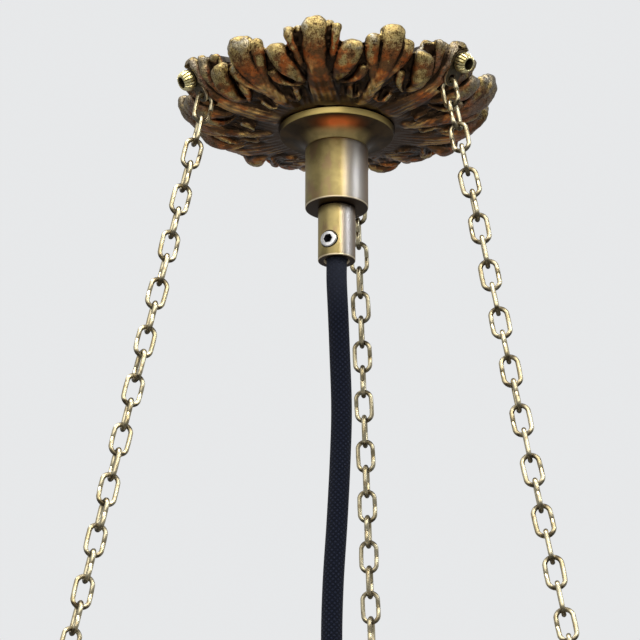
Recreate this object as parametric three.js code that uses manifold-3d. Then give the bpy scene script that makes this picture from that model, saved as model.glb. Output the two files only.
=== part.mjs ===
// Pendant lamp: a cast leaf canopy at the ceiling, a cord with a lampholder, and a glass bowl on three chains.
// Millimetres, +Z up. The origin is the middle of the top face of the ceiling bracket.

import * as THREE from 'three';
import { mergeVertices } from 'three/addons/utils/BufferGeometryUtils.js';
import Module from 'manifold-3d';

const wasm = await Module();
wasm.setup();

// Gaps between neighbouring pieces
const gap = 0.3;
const cordFit = 0.35;

// How far a cutting tool stands out of the piece that it cuts
const overcut = 1;

// Cast canopy: the middle line of a leaf on the underside, from the seat of the flange to the tip
const canopyRadius = 54;
const canopyWall = 3.2;
const canopySeatRadius = 20;
const canopySeatZ = -18.9;
const leafRiseRadius = canopyRadius * 2 / 3;
const leafTurnRadius = canopyRadius - 2;
const leafTurnZ = -14.5;
const leafTipZ = -2.5;
const leafRelief = 1.5;
const leafCount = 6;
const canopySteps = 120;
const canopyRings = 6;

// Ceiling bracket: a round plate with three arms, each ending in a tapped ear
const bracketThickness = 2;
const bracketRadius = canopyRadius * 0.463;
const armWidth = 9;
const armShort = 4.8;
const earAbove = 3.6;
const earBelow = 4.5;
const fixingHoleRadius = 2.3;
const fixingHoleAt = bracketRadius * 0.68;
const mainsHoleRadius = 5;
const mainsHoleAt = bracketRadius * 0.64;

// Threaded tube that clamps collar, flange and canopy together
const tubeRadius = 5;
const tubeBore = 3.95;
const tubeAboveNut = 0.8;
const nutAcross = 14;
const nutHeight = 3;

// Turned flange and collar
const flangeRadius = 20.5;
const flangeRim = 2;
const flangeHeight = 7.1;
const flangeNeck = 10.6;
const collarRadius = 11;
const collarLength = 22.4;
const collarWall = 1.6;
const collarFloor = 3;

// Cord grip with its set screw
const gripRadius = 6.5;
const gripLength = 19.4;
const gripThread = 8;
const gripMouth = 0.7;
const setScrewRadius = 2.95;
const setScrewSocket = 1.7;
const setScrewHeight = 6.2;
const setScrewProud = 0.5;
const setScrewAngle = -107.5;

// Cord
const cordRadius = 3.55;
const coreRadius = 0.9;

// Terminal block under the bracket
const blockLength = 24;
const blockWidth = 11;
const blockHeight = 8.5;
const blockAt = bracketRadius * 0.62;
const poleSpacing = 7;
const wellRadius = 1.9;
const terminalScrewLength = 4;

// Hangers: a flat tab held against the leaf by a fluted screw, leaning outwards at the top
const hangerInset = 0.6;
const hangerDrop = 5.5;
const hangerLean = 31;
const tabThickness = 1;
const tabWidth = 6.4;
const tabTop = 3.8;
const tabEyeAt = 6.6;
const tabEyeRadius = 1.55;
const tabEnd = 2.65;
const screwRadius = 1.95;
const screwLength = 9;
const knobRadius = 4.2;
const knobFluteDepth = 0.5;
const knobFlutes = 14;
const knobLength = 5;
const knobRecessRadius = 2.6;
const knobRecessDepth = 3.6;
const knobStandOff = 0.8;
const earThickness = 2;
const earBehind = 6.4;

// Chains of oval links, each turned a quarter against the last
const linkCount = 34;
const linkPitch = 9.08;
const linkWire = 1.5;
const linkRadius = 2.775;
const linkBite = 0.06;
const linkSeatOut = 1.5;
const linkSeatUp = 0.4;
const linkPlay = 0.8;
const chainLean = 12.2;

// Hoop with its ledge, lugs and rivets
const hoopWall = 2;
const hoopHeight = 14;
const hoopLedge = 5.2;
const hoopLedgeThickness = 1.6;
const lugReach = 5.2;
const lugThickness = 1.6;
const lugEyeRadius = 2.1;
const lugEyeRim = 1.3;
const lugPlay = 0.7;
const lugFootWidth = 10;
const lugFootHeight = 12;
const lugFootThickness = 1.6;
const hoopBelowEye = 4.6;
const rivetRadius = 1.6;
const rivetHeadRadius = 2.8;
const rivetHeadHeight = 1.2;

// Glass bowl
const bowlDepth = 92;
const bowlWall = 3.6;
const bowlRim = 4.5;

// Lampholder and bulb, hung on the cord
const cordFall = 177.3;
const holderGripRadius = 5.5;
const holderGripLength = 12;
const holderRadius = 20.5;
const holderWall = 1.2;
const holderCapHeight = 21.7;
const holderShellHeight = 41.7;
const insertRadius = 18.9;
const insertHeight = 9;
const screwShellRadius = 14.5;
const screwShellWall = 0.7;
const screwShellHeight = 25.7;
const contactRadius = 3;
const contactHeight = 1.5;
const bulbCapRadius = 13.2;
const bulbCapHeight = 25.7;
const bulbRadius = 30;
const bulbNeckRadius = 14;
const bulbLength = 80;
const bulbWall = 1;

// Facets
const bigSteps = 40;
const roundSteps = 24;
const smallSteps = 12;
const hexSides = 6;
const portSides = 8;
const curvePoints = 5;
const bowlRings = 6;
const bulbRings = 4;
const cordSides = 10;
const cordSteps = 22;
const coreSides = 6;
const coreSteps = 8;

// Heights that follow from the sizes above
const canopyFloorZ = canopySeatZ + canopyWall;
const nutZ = canopyFloorZ + gap;
const tubeTopZ = nutZ + nutHeight + tubeAboveNut;
const flangeTopZ = canopySeatZ - gap;
const flangeBottomZ = flangeTopZ - flangeHeight;
const collarTopZ = flangeBottomZ - gap;
const collarBottomZ = collarTopZ - collarLength;
const gripTopZ = collarBottomZ - gap;
const gripBottomZ = gripTopZ - gripLength;
const tubeBottomZ = gripTopZ - gripThread;
const tubeHole = tubeRadius + gap;
const cordHole = cordRadius + cordFit;
const holderTopZ = gripBottomZ - cordFall;

// Where the chains hang and where they end
const azimuths = { back: 90, left: 210, right: 330 };
const radians = THREE.MathUtils.degToRad;
const hangerRadius = canopyRadius - hangerInset;
const hangerZ = leafTipZ - hangerDrop;
const leanDown = new THREE.Vector2(-Math.sin(radians(hangerLean)), -Math.cos(radians(hangerLean)));
const eye = new THREE.Vector2(hangerRadius, hangerZ).addScaledVector(leanDown, tabEyeAt);
const chainDown = new THREE.Vector2(Math.sin(radians(chainLean)), -Math.cos(radians(chainLean)));
const chainOut = new THREE.Vector2(-chainDown.y, chainDown.x);
const chainTop = eye.clone().addScaledVector(chainOut, -linkSeatOut).addScaledVector(chainDown, linkSeatUp);
const chainEnd = chainTop.clone().addScaledVector(chainDown, linkCount * linkPitch);
const lugEye = chainEnd.clone().addScaledVector(chainDown, lugEyeRadius - lugPlay);
const hoopRadius = lugEye.x - lugReach;
const hoopTopZ = lugEye.y - hoopBelowEye;
const hoopBottomZ = hoopTopZ - hoopHeight;
const bowlSeatZ = hoopBottomZ + hoopLedgeThickness + gap;
const bowlRimRadius = hoopRadius - hoopWall - gap;
const bowlBodyRadius = hoopRadius - hoopWall - hoopLedge - gap;

// Colours and surfaces
const finishes = {
  castBrass: { color: 0x6b4f26, roughness: 0.5, metalness: 0.9 },
  turnedBrass: { color: 0x9a7b3c, roughness: 0.35, metalness: 1 },
  chainBrass: { color: 0xb8a26a, roughness: 0.3, metalness: 1 },
  steel: { color: 0xb9bcc0, roughness: 0.25, metalness: 1 },
  zincSteel: { color: 0x9a9fa3, roughness: 0.45, metalness: 1 },
  braid: { color: 0x161a26, roughness: 0.9, metalness: 0 },
  ceramic: { color: 0xe8e2d2, roughness: 0.4, metalness: 0 },
  opalGlass: { color: 0xf3ece0, roughness: 0.15, metalness: 0 },
  frostedGlass: { color: 0xf6f3ea, roughness: 0.3, metalness: 0 },
  brownCore: { color: 0x5a3217, roughness: 0.6, metalness: 0 },
  blueCore: { color: 0x1d4f9c, roughness: 0.6, metalness: 0 },
  earthCore: { color: 0x6e9a1e, roughness: 0.6, metalness: 0 },
};

// Geometry helpers
function signedVolume(positions, faces) {
  const a = new THREE.Vector3();
  const b = new THREE.Vector3();
  const c = new THREE.Vector3();
  let sum = 0;
  for (let i = 0; i < faces.length; i += 3) {
    a.fromArray(positions, faces[i] * 3);
    b.fromArray(positions, faces[i + 1] * 3);
    c.fromArray(positions, faces[i + 2] * 3);
    sum += a.dot(b.cross(c)) / 6;
  }
  return sum;
}

// One closed skin: shared corners merged, collapsed triangles dropped, faces pointing out
function closed(geometry) {
  const bare = geometry.clone();
  bare.deleteAttribute('normal');
  bare.deleteAttribute('uv');
  const merged = mergeVertices(bare, 1e-4);
  const index = merged.getIndex().array;
  const faces = [];
  for (let i = 0; i < index.length; i += 3) {
    const [a, b, c] = [index[i], index[i + 1], index[i + 2]];
    if (a !== b && b !== c && c !== a) faces.push(a, b, c);
  }
  if (signedVolume(merged.getAttribute('position').array, faces) < 0) faces.reverse();
  merged.setIndex(faces);
  return merged;
}

function toSolid(geometry) {
  const skin = closed(geometry);
  const vertProperties = new Float32Array(skin.getAttribute('position').array);
  const triVerts = new Uint32Array(skin.getIndex().array);
  return new wasm.Manifold(new wasm.Mesh({ numProp: 3, vertProperties, triVerts }));
}

function toGeometry(solid) {
  const mesh = solid.getMesh();
  const geometry = new THREE.BufferGeometry();
  geometry.setAttribute('position', new THREE.BufferAttribute(new Float32Array(mesh.vertProperties), 3));
  geometry.setIndex(Array.from(mesh.triVerts));
  return geometry;
}

function join(...geometries) {
  return toGeometry(geometries.map(toSolid).reduce((whole, piece) => whole.add(piece)));
}

function cut(geometry, ...tools) {
  return toGeometry(tools.map(toSolid).reduce((whole, tool) => whole.subtract(tool), toSolid(geometry)));
}

function moved(geometry, x, y, z) {
  return geometry.clone().translate(x, y, z);
}

// A turned piece: the profile is a list of [radius, height], closed on itself or on the axis
function turned(profile, steps = roundSteps) {
  const onAxis = profile[0][0] === 0;
  const points = profile.map(([radius, height]) => new THREE.Vector2(radius, height));
  if (!onAxis) points.push(points[0].clone());
  return closed(new THREE.LatheGeometry(points, steps).rotateX(Math.PI / 2));
}

function rod(radius, low, high, steps = smallSteps) {
  return turned([[0, low], [radius, low], [radius, high], [0, high]], steps);
}

function pipe(inner, outer, low, high, steps = roundSteps) {
  return turned([[inner, low], [outer, low], [outer, high], [inner, high]], steps);
}

function block(x0, x1, y0, y1, z0, z1) {
  const box = new THREE.BoxGeometry(x1 - x0, y1 - y0, z1 - z0);
  return closed(box.translate((x0 + x1) / 2, (y0 + y1) / 2, (z0 + z1) / 2));
}

function plate(shape, low, high, curveSegments = portSides) {
  const options = { depth: high - low, bevelEnabled: false, curveSegments };
  return closed(new THREE.ExtrudeGeometry(shape, options).translate(0, 0, low));
}

function polygon(corners) {
  return new THREE.Shape(corners.map(([x, y]) => new THREE.Vector2(x, y)));
}

function roundHole(x, y, radius) {
  const hole = new THREE.Path();
  hole.absarc(x, y, radius, 0, 2 * Math.PI, true);
  return hole;
}

// A round wire along a smooth route, square cut at both ends
function wire(points, radius, sides, steps) {
  const section = polygon(Array.from({ length: sides }, (_, i) => {
    const angle = (2 * Math.PI * i) / sides;
    return [radius * Math.cos(angle), radius * Math.sin(angle)];
  }));
  const route = new THREE.CatmullRomCurve3(points.map(([x, y, z]) => new THREE.Vector3(x, y, z)));
  return closed(new THREE.ExtrudeGeometry(section, { steps, extrudePath: route, bevelEnabled: false }));
}

// Scene graph
const lamp = new THREE.Group();

function place(name, geometry, finish, parent = lamp) {
  const mesh = new THREE.Mesh(geometry, new THREE.MeshStandardMaterial(finishes[finish]));
  mesh.name = name;
  parent.add(mesh);
  return mesh;
}

// The radial plane of one chain: X points outwards
function radialPlane(side) {
  const plane = new THREE.Group();
  plane.rotation.z = radians(azimuths[side]);
  lamp.add(plane);
  return plane;
}

// A hanger's own axes: X runs down the tab, Z runs out along the screw, the origin is where they cross
function hangerAxes(parent) {
  const axes = new THREE.Group();
  axes.position.set(hangerRadius, 0, hangerZ);
  axes.rotation.y = radians(90 + hangerLean);
  parent.add(axes);
  return axes;
}

// The same shape once in each of the three radial planes, tilted about Y and set at a radius and a height
function threeTimes(geometry, tilt, radius, height) {
  const leaning = geometry.clone().rotateY(radians(tilt)).translate(radius, 0, height);
  return Object.values(azimuths).map((azimuth) => leaning.clone().rotateZ(radians(azimuth)));
}

function atHangers(geometry) {
  return threeTimes(geometry, 90 + hangerLean, hangerRadius, hangerZ);
}

// Ceiling bracket
function ceilingBracket() {
  const disc = rod(bracketRadius, -bracketThickness, 0, roundSteps);
  const arms = Object.values(azimuths).map((azimuth) =>
    block(0, hangerRadius - armShort, -armWidth / 2, armWidth / 2, -bracketThickness, 0).rotateZ(radians(azimuth)));
  const ear = block(-earAbove, earBelow, -armWidth / 2, armWidth / 2, -earBehind - earThickness, -earBehind);
  const aboveCeiling = block(-canopyRadius, canopyRadius, -canopyRadius, canopyRadius, 0, canopyRadius);
  const whole = cut(join(disc, ...arms, ...atHangers(ear)), aboveCeiling);
  const tapped = atHangers(rod(screwRadius + gap, -screwLength - earThickness, 0));
  const fixings = [-fixingHoleAt, fixingHoleAt].map((x) =>
    moved(rod(fixingHoleRadius, -bracketThickness - overcut, overcut), x, 0, 0));
  const mains = moved(rod(mainsHoleRadius, -bracketThickness - overcut, overcut), 0, mainsHoleAt, 0);
  return cut(whole, ...tapped, ...fixings, mains);
}

// Canopy leaves: where each lobe lies inside a sixth of the ring, how wide it is and how far along the
// leaf line it reaches
const leafLine = new THREE.CubicBezierCurve(
  new THREE.Vector2(canopySeatRadius, canopySeatZ),
  new THREE.Vector2(leafRiseRadius, canopySeatZ + gap),
  new THREE.Vector2(leafTurnRadius, leafTurnZ),
  new THREE.Vector2(canopyRadius, leafTipZ),
);
const notchReach = 0.66;
const lobes = [
  { at: 0, halfWidth: 6, reach: 1 },
  { at: 9.5, halfWidth: 4, reach: 0.93 },
  { at: 18, halfWidth: 4.5, reach: 0.83 },
  { at: 30, halfWidth: 7.5, reach: 0.96 },
];

// How far the edge reaches at an angle from the middle of a main leaf, and how high the lobe stands there
function leafAt(angle) {
  const sector = 360 / leafCount;
  const folded = Math.abs(((angle % sector) + sector * 1.5) % sector - sector / 2);
  let reach = notchReach;
  let crest = -0.4;
  for (const lobe of lobes) {
    const off = Math.abs(folded - lobe.at * sector / 60) / (lobe.halfWidth * sector / 60);
    if (off > 1) continue;
    reach = Math.max(reach, notchReach + (lobe.reach - notchReach) * Math.sqrt(1 - off ** 3));
    crest = Math.max(crest, 1 - 1.4 * off ** 2);
  }
  return { reach, crest };
}

// A point beside the leaf line: along it from 0 to 1, and out from the underside
function besideLeaf(along, out) {
  const point = leafLine.getPoint(along);
  const tangent = leafLine.getTangent(along);
  return [point.x + tangent.y * out, point.y - tangent.x * out];
}

function canopySection(angle) {
  const { reach, crest } = leafAt(angle);
  const section = [[tubeHole, canopySeatZ], [canopySeatRadius, canopySeatZ]];
  for (let i = 1; i <= canopyRings; i++) {
    const along = reach * i / canopyRings;
    section.push(besideLeaf(along, leafRelief * crest * THREE.MathUtils.smoothstep(along, 0.1, 0.7)));
  }
  section.push(besideLeaf(Math.min(reach + 0.03, 1), -canopyWall / 2));
  for (const share of [0.97, 0.7, 0.4]) {
    section.push(besideLeaf(reach * share, -canopyWall));
  }
  section.push([canopySeatRadius, canopyFloorZ], [tubeHole, canopyFloorZ]);
  return section;
}

function canopy() {
  const positions = [];
  const faces = [];
  const count = canopySection(0).length;
  for (let i = 0; i < canopySteps; i++) {
    const angle = 360 * i / canopySteps;
    const turn = radians(angle + azimuths.back);
    for (const [radius, height] of canopySection(angle)) {
      positions.push(radius * Math.cos(turn), radius * Math.sin(turn), height);
    }
    const here = i * count;
    const next = ((i + 1) % canopySteps) * count;
    for (let j = 0; j < count; j++) {
      const k = (j + 1) % count;
      faces.push(here + j, next + j, here + k, here + k, next + j, next + k);
    }
  }
  const cup = new THREE.BufferGeometry();
  cup.setAttribute('position', new THREE.Float32BufferAttribute(positions, 3));
  cup.setIndex(faces);
  const seatBack = -tabThickness / 2 - gap;
  const seat = block(-tabTop - gap, tabEyeAt + tabEnd + gap, -tabWidth / 2 - gap, tabWidth / 2 + gap,
    seatBack, canopyRadius / 4);
  const knobRoom = rod(knobRadius + 2 * gap, seatBack, canopyRadius / 4);
  const screwHole = rod(screwRadius + gap, -screwLength, 0);
  const linkHalf = linkRadius + linkWire / 2;
  const linkRoom = block(-linkHalf - linkPlay, linkHalf, -linkWire / 2 - linkPlay, linkWire / 2 + linkPlay,
    -linkPitch, linkWire + linkPlay);
  return cut(cup, ...[seat, knobRoom, screwHole].flatMap(atHangers),
    ...threeTimes(linkRoom, -chainLean, chainTop.x, chainTop.y));
}

// Clamping stack under the canopy
function hexNut(low) {
  const outline = polygon(Array.from({ length: hexSides }, (_, i) => {
    const angle = 2 * Math.PI * i / hexSides;
    const corner = nutAcross / Math.sqrt(3);
    return [corner * Math.cos(angle), corner * Math.sin(angle)];
  }));
  outline.holes.push(roundHole(0, 0, tubeHole));
  return plate(outline, low, low + nutHeight);
}

function flange() {
  const rimZ = flangeTopZ - flangeRim;
  const cove = new THREE.QuadraticBezierCurve(
    new THREE.Vector2(flangeRadius, rimZ),
    new THREE.Vector2(flangeNeck + flangeRim, rimZ - flangeRim / 2),
    new THREE.Vector2(flangeNeck, flangeBottomZ),
  );
  const side = cove.getPoints(curvePoints).map((point) => [point.x, point.y]);
  return turned([[tubeHole, flangeTopZ], [flangeRadius, flangeTopZ], ...side, [tubeHole, flangeBottomZ]]);
}

function collar() {
  const floorZ = collarBottomZ + collarFloor;
  return turned([
    [collarRadius - collarWall, collarTopZ],
    [collarRadius, collarTopZ],
    [collarRadius, collarBottomZ],
    [tubeHole, collarBottomZ],
    [tubeHole, floorZ],
    [collarRadius - collarWall, floorZ],
  ]);
}

function setScrewRod(radius, from, to, steps = smallSteps) {
  return rod(radius, from, to, steps)
    .rotateY(Math.PI / 2)
    .rotateZ(radians(setScrewAngle))
    .translate(0, 0, gripBottomZ + setScrewHeight);
}

function cordGrip() {
  const threadEndZ = tubeBottomZ - gap;
  const body = turned([
    [tubeHole, gripTopZ],
    [gripRadius, gripTopZ],
    [gripRadius, gripBottomZ],
    [cordHole + gripMouth, gripBottomZ],
    [cordHole, gripBottomZ + gripMouth],
    [cordHole, threadEndZ],
    [tubeHole, threadEndZ],
  ]);
  return cut(body, setScrewRod(setScrewRadius + gap, 0, gripRadius + overcut));
}

function setScrew() {
  const outerEnd = gripRadius + setScrewProud;
  const socketDepth = outerEnd - setScrewRadius;
  const screw = setScrewRod(setScrewRadius, cordRadius + gap, outerEnd);
  return cut(screw, setScrewRod(setScrewSocket, socketDepth, outerEnd + overcut, hexSides));
}

place('ceiling_bracket', ceilingBracket(), 'zincSteel');
place('canopy', canopy(), 'castBrass');
place('canopy_nut', hexNut(nutZ), 'turnedBrass');
place('threaded_tube', pipe(tubeBore, tubeRadius, tubeBottomZ, tubeTopZ, smallSteps), 'turnedBrass');
place('flange', flange(), 'turnedBrass');
place('collar', collar(), 'turnedBrass');
place('cord_grip', cordGrip(), 'turnedBrass');
place('set_screw', setScrew(), 'steel');

// Terminal block with its screws, and the three cores that come up out of the cord
const blockTopZ = -bracketThickness - gap;
const blockBottomZ = blockTopZ - blockHeight;
const corePortZ = (blockTopZ + blockBottomZ) / 2 - 1;
const blockFront = -blockAt + blockWidth / 2;
const cordTopZ = tubeTopZ - gap;

function terminalBlock() {
  const body = block(-blockLength / 2, blockLength / 2, -blockAt - blockWidth / 2, blockFront,
    blockBottomZ, blockTopZ);
  const wells = [];
  for (const pole of [-1, 0, 1]) {
    const well = rod(wellRadius, blockBottomZ - overcut, blockBottomZ + terminalScrewLength);
    const port = rod(coreRadius + 2 * gap, -blockWidth / 2, blockWidth, portSides).rotateX(-Math.PI / 2);
    wells.push(moved(well, pole * poleSpacing, -blockAt, 0));
    wells.push(moved(port, pole * poleSpacing, -blockAt, corePortZ));
  }
  return cut(body, ...wells);
}

place('terminal_block', terminalBlock(), 'ceramic');
[['core_live', 'brownCore'], ['core_earth', 'earthCore'], ['core_neutral', 'blueCore']].forEach(([name, finish], i) => {
  const side = i - 1;
  const screwTopZ = corePortZ - coreRadius - 2 * gap;
  place(`terminal_screw_${i + 1}`,
    moved(rod(wellRadius - gap, blockBottomZ, screwTopZ), side * poleSpacing, -blockAt, 0), 'turnedBrass');
  const start = 2.4 * coreRadius;
  const route = [
    [side * start, 0, cordTopZ + gap],
    [side * start, 0, cordTopZ + 3 * coreRadius],
    [side * (start + 1), blockFront / 2, corePortZ + 1],
    [side * poleSpacing, blockFront + 1, corePortZ],
    [side * poleSpacing, -blockAt + wellRadius, corePortZ],
  ];
  place(name, wire(route, coreRadius, coreSides, coreSteps), finish);
});
place('upper_cord', rod(cordRadius, gripBottomZ + gap, cordTopZ, cordSides), 'braid');

// Hangers
function hangerTab() {
  const half = tabWidth / 2;
  const outline = new THREE.Shape();
  outline.absarc(tabEyeAt + tabEnd - half, 0, half, -Math.PI / 2, Math.PI / 2, false);
  outline.absarc(half - tabTop, 0, half, Math.PI / 2, 1.5 * Math.PI, false);
  outline.holes.push(roundHole(0, 0, screwRadius + gap), roundHole(tabEyeAt, 0, tabEyeRadius));
  return plate(outline, -tabThickness / 2, tabThickness / 2, curvePoints);
}

function hangerScrew() {
  const outline = polygon(Array.from({ length: 2 * knobFlutes }, (_, i) => {
    const angle = Math.PI * i / knobFlutes;
    const radius = knobRadius - (i % 2) * knobFluteDepth;
    return [radius * Math.cos(angle), radius * Math.sin(angle)];
  }));
  const knob = plate(outline, knobStandOff, knobStandOff + knobLength);
  const recessFloor = knobStandOff + knobLength - knobRecessDepth;
  const cupped = cut(knob, rod(knobRecessRadius, recessFloor, knobStandOff + knobLength + overcut));
  return join(cupped, rod(screwRadius, -screwLength, knobStandOff + gap));
}

// One chain hanging straight down from the origin, its links touching so that it is one body
function chainLink(index) {
  const inner = linkRadius - linkWire / 2;
  const straight = (linkPitch - linkBite) / 2 - inner;
  const ring = (radius) => {
    const chamfer = radius * Math.tan(Math.PI / 8);
    const quarter = [[radius, straight + chamfer], [chamfer, straight + radius]];
    const left = quarter.map(([x, y]) => [-x, y]).reverse();
    const upper = [...quarter, ...left];
    return [...upper, ...upper.map(([x, y]) => [-x, -y])];
  };
  const outline = polygon(ring(inner + linkWire));
  outline.holes.push(new THREE.Path(ring(inner).map(([x, y]) => new THREE.Vector2(x, y)).reverse()));
  return plate(outline, -linkWire / 2, linkWire / 2)
    .rotateX(Math.PI / 2)
    .rotateZ(index % 2 * Math.PI / 2)
    .translate(0, 0, -(index + 0.5) * linkPitch);
}

const chain = join(...Array.from({ length: linkCount }, (_, index) => chainLink(index)));

// Hoop, lugs and rivets
function hoop() {
  const inner = hoopRadius - hoopWall;
  const body = turned([
    [inner, hoopTopZ],
    [hoopRadius, hoopTopZ],
    [hoopRadius, hoopBottomZ],
    [inner - hoopLedge, hoopBottomZ],
    [inner - hoopLedge, hoopBottomZ + hoopLedgeThickness],
    [inner, hoopBottomZ + hoopLedgeThickness],
  ], bigSteps);
  const holes = Object.values(azimuths).map((azimuth) =>
    rod(rivetRadius + gap, inner - overcut, hoopRadius + overcut)
      .rotateY(Math.PI / 2)
      .translate(0, 0, rivetZ)
      .rotateZ(radians(azimuth)));
  return cut(body, ...holes);
}

const lugFootTopZ = hoopTopZ - gap;
const rivetZ = lugFootTopZ - lugFootHeight / 2;
const lugFootInner = hoopRadius + gap;
const lugFootOuter = lugFootInner + lugFootThickness;

function lug() {
  const half = lugThickness / 2;
  const foot = block(lugFootInner, lugFootOuter, -lugFootWidth / 2, lugFootWidth / 2,
    lugFootTopZ - lugFootHeight, lugFootTopZ);
  const web = plate(polygon([
    [lugFootInner, lugFootTopZ - 1],
    [lugFootOuter, lugFootTopZ - lugFootHeight / 4],
    [lugEye.x + lugEyeRadius + lugEyeRim / 2, lugEye.y - lugEyeRadius],
    [lugEye.x, lugEye.y],
    [lugEye.x - lugEyeRadius - lugEyeRim / 2, lugEye.y - lugEyeRadius],
  ]), -half, half).rotateX(Math.PI / 2);
  const across = (radius, length) =>
    moved(rod(radius, -length, length).rotateX(Math.PI / 2), lugEye.x, 0, lugEye.y);
  const rivetHole = rod(rivetRadius + gap, lugFootInner - overcut, lugFootOuter + overcut)
    .rotateY(Math.PI / 2)
    .translate(0, 0, rivetZ);
  return cut(join(foot, web, across(lugEyeRadius + lugEyeRim, half)),
    across(lugEyeRadius, lugThickness), rivetHole);
}

function rivet() {
  const headZ = lugFootOuter + gap;
  return turned([
    [0, hoopRadius - hoopWall + gap],
    [rivetRadius, hoopRadius - hoopWall + gap],
    [rivetRadius, headZ],
    [rivetHeadRadius, headZ],
    [rivetHeadRadius * 0.75, headZ + rivetHeadHeight * 0.7],
    [0, headZ + rivetHeadHeight],
  ], smallSteps).rotateY(Math.PI / 2).translate(0, 0, rivetZ);
}

place('hoop', hoop(), 'turnedBrass');
for (const side of Object.keys(azimuths)) {
  const plane = radialPlane(side);
  const axes = hangerAxes(plane);
  place(`hanger_tab_${side}`, hangerTab(), 'chainBrass', axes);
  place(`hanger_screw_${side}`, hangerScrew(), 'chainBrass', axes);
  const hung = place(`chain_${side}`, chain.clone(), 'chainBrass', plane);
  hung.position.set(chainTop.x, 0, chainTop.y);
  hung.rotation.y = -radians(chainLean);
  place(`lug_${side}`, lug(), 'turnedBrass', plane);
  place(`rivet_${side}`, rivet(), 'turnedBrass', plane);
}

// A quarter of an ellipse below a height, from just under its widest point down to the axis
function quarterRound(radius, depth, topZ, count) {
  return Array.from({ length: count }, (_, i) => {
    const angle = (Math.PI / 2) * (i + 1) / count;
    return [i + 1 === count ? 0 : radius * Math.cos(angle), topZ - depth * Math.sin(angle)];
  });
}

// Glass bowl: a rim that lies on the ledge and a rounded body under it
function bowl() {
  const innerRim = bowlBodyRadius - bowlWall;
  return turned([
    ...quarterRound(innerRim, bowlDepth - bowlWall, bowlSeatZ, bowlRings).reverse(),
    [innerRim, bowlSeatZ],
    [innerRim, bowlSeatZ + bowlRim],
    [bowlRimRadius, bowlSeatZ + bowlRim],
    [bowlRimRadius, bowlSeatZ],
    [bowlBodyRadius, bowlSeatZ],
    ...quarterRound(bowlBodyRadius, bowlDepth, bowlSeatZ, bowlRings),
  ], bigSteps);
}

place('glass_bowl', bowl(), 'opalGlass');

// Lampholder, from the cord's entry down
const capTopZ = holderTopZ - holderGripLength - gap;
const capBottomZ = capTopZ - holderCapHeight;
const shellTopZ = capBottomZ - gap;
const shellBottomZ = shellTopZ - holderShellHeight;
const insertTopZ = shellTopZ - gap;
const insertBottomZ = insertTopZ - insertHeight;
const sleeveTopZ = insertBottomZ - gap;
const contactBottomZ = sleeveTopZ - contactHeight;
const bulbTopZ = contactBottomZ - gap;
const bulbCapBottomZ = bulbTopZ - bulbCapHeight;
const bulbGlassTopZ = bulbCapBottomZ - gap;

function holderCap() {
  const dome = new THREE.CubicBezierCurve(
    new THREE.Vector2(cordHole + holderWall, capTopZ),
    new THREE.Vector2(holderRadius * 0.6, capTopZ - holderCapHeight * 0.1),
    new THREE.Vector2(holderRadius, capTopZ - holderCapHeight * 0.3),
    new THREE.Vector2(holderRadius, capBottomZ),
  );
  const outside = dome.getPoints(curvePoints).map((point) => [point.x, point.y]);
  const inside = outside.slice(1).map(([radius, height]) => [radius - holderWall, height - holderWall]).reverse();
  inside[0][1] = capBottomZ;
  return turned([[cordHole, capTopZ], ...outside, ...inside, [cordHole, capTopZ - holderWall]]);
}

// The glass is a thin envelope, open at its neck
function bulbGlass() {
  const neckBottomZ = bulbGlassTopZ - bulbNeckRadius;
  const centreZ = bulbGlassTopZ - bulbLength + bulbRadius;
  const side = (inset) => {
    const neck = bulbNeckRadius - inset;
    const ball = bulbRadius - inset;
    const shoulder = new THREE.CubicBezierCurve(
      new THREE.Vector2(neck, neckBottomZ),
      new THREE.Vector2(neck * 1.3, neckBottomZ - neck),
      new THREE.Vector2(ball, centreZ + ball * 0.8),
      new THREE.Vector2(ball, centreZ),
    );
    const upper = shoulder.getPoints(bulbRings).map((point) => [point.x, point.y]);
    return [[neck, bulbGlassTopZ], ...upper, ...quarterRound(ball, ball, centreZ, bulbRings)];
  };
  return turned([...side(0), ...side(bulbWall).reverse()]);
}

function bulbCap() {
  return turned([
    [0, bulbTopZ],
    [contactRadius + 1, bulbTopZ],
    [bulbCapRadius * 0.8, bulbTopZ - bulbCapHeight * 0.2],
    [bulbCapRadius, bulbTopZ - bulbCapHeight * 0.25],
    [bulbCapRadius, bulbCapBottomZ],
    [0, bulbCapBottomZ],
  ]);
}

place('lower_cord', rod(cordRadius, insertTopZ + gap, holderTopZ - gap, cordSides), 'braid');
place('holder_grip', pipe(cordHole, holderGripRadius, holderTopZ - holderGripLength, holderTopZ, smallSteps), 'turnedBrass');
place('holder_cap', holderCap(), 'turnedBrass');
place('holder_shell', pipe(holderRadius - holderWall, holderRadius, shellBottomZ, shellTopZ), 'turnedBrass');
place('holder_insert', rod(insertRadius, insertBottomZ, insertTopZ, roundSteps), 'ceramic');
place('screw_shell', pipe(screwShellRadius - screwShellWall, screwShellRadius,
  sleeveTopZ - screwShellHeight, sleeveTopZ), 'chainBrass');
place('centre_contact', rod(contactRadius, contactBottomZ, sleeveTopZ), 'chainBrass');
place('bulb_cap', bulbCap(), 'steel');
place('bulb_glass', bulbGlass(), 'frostedGlass');

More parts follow.
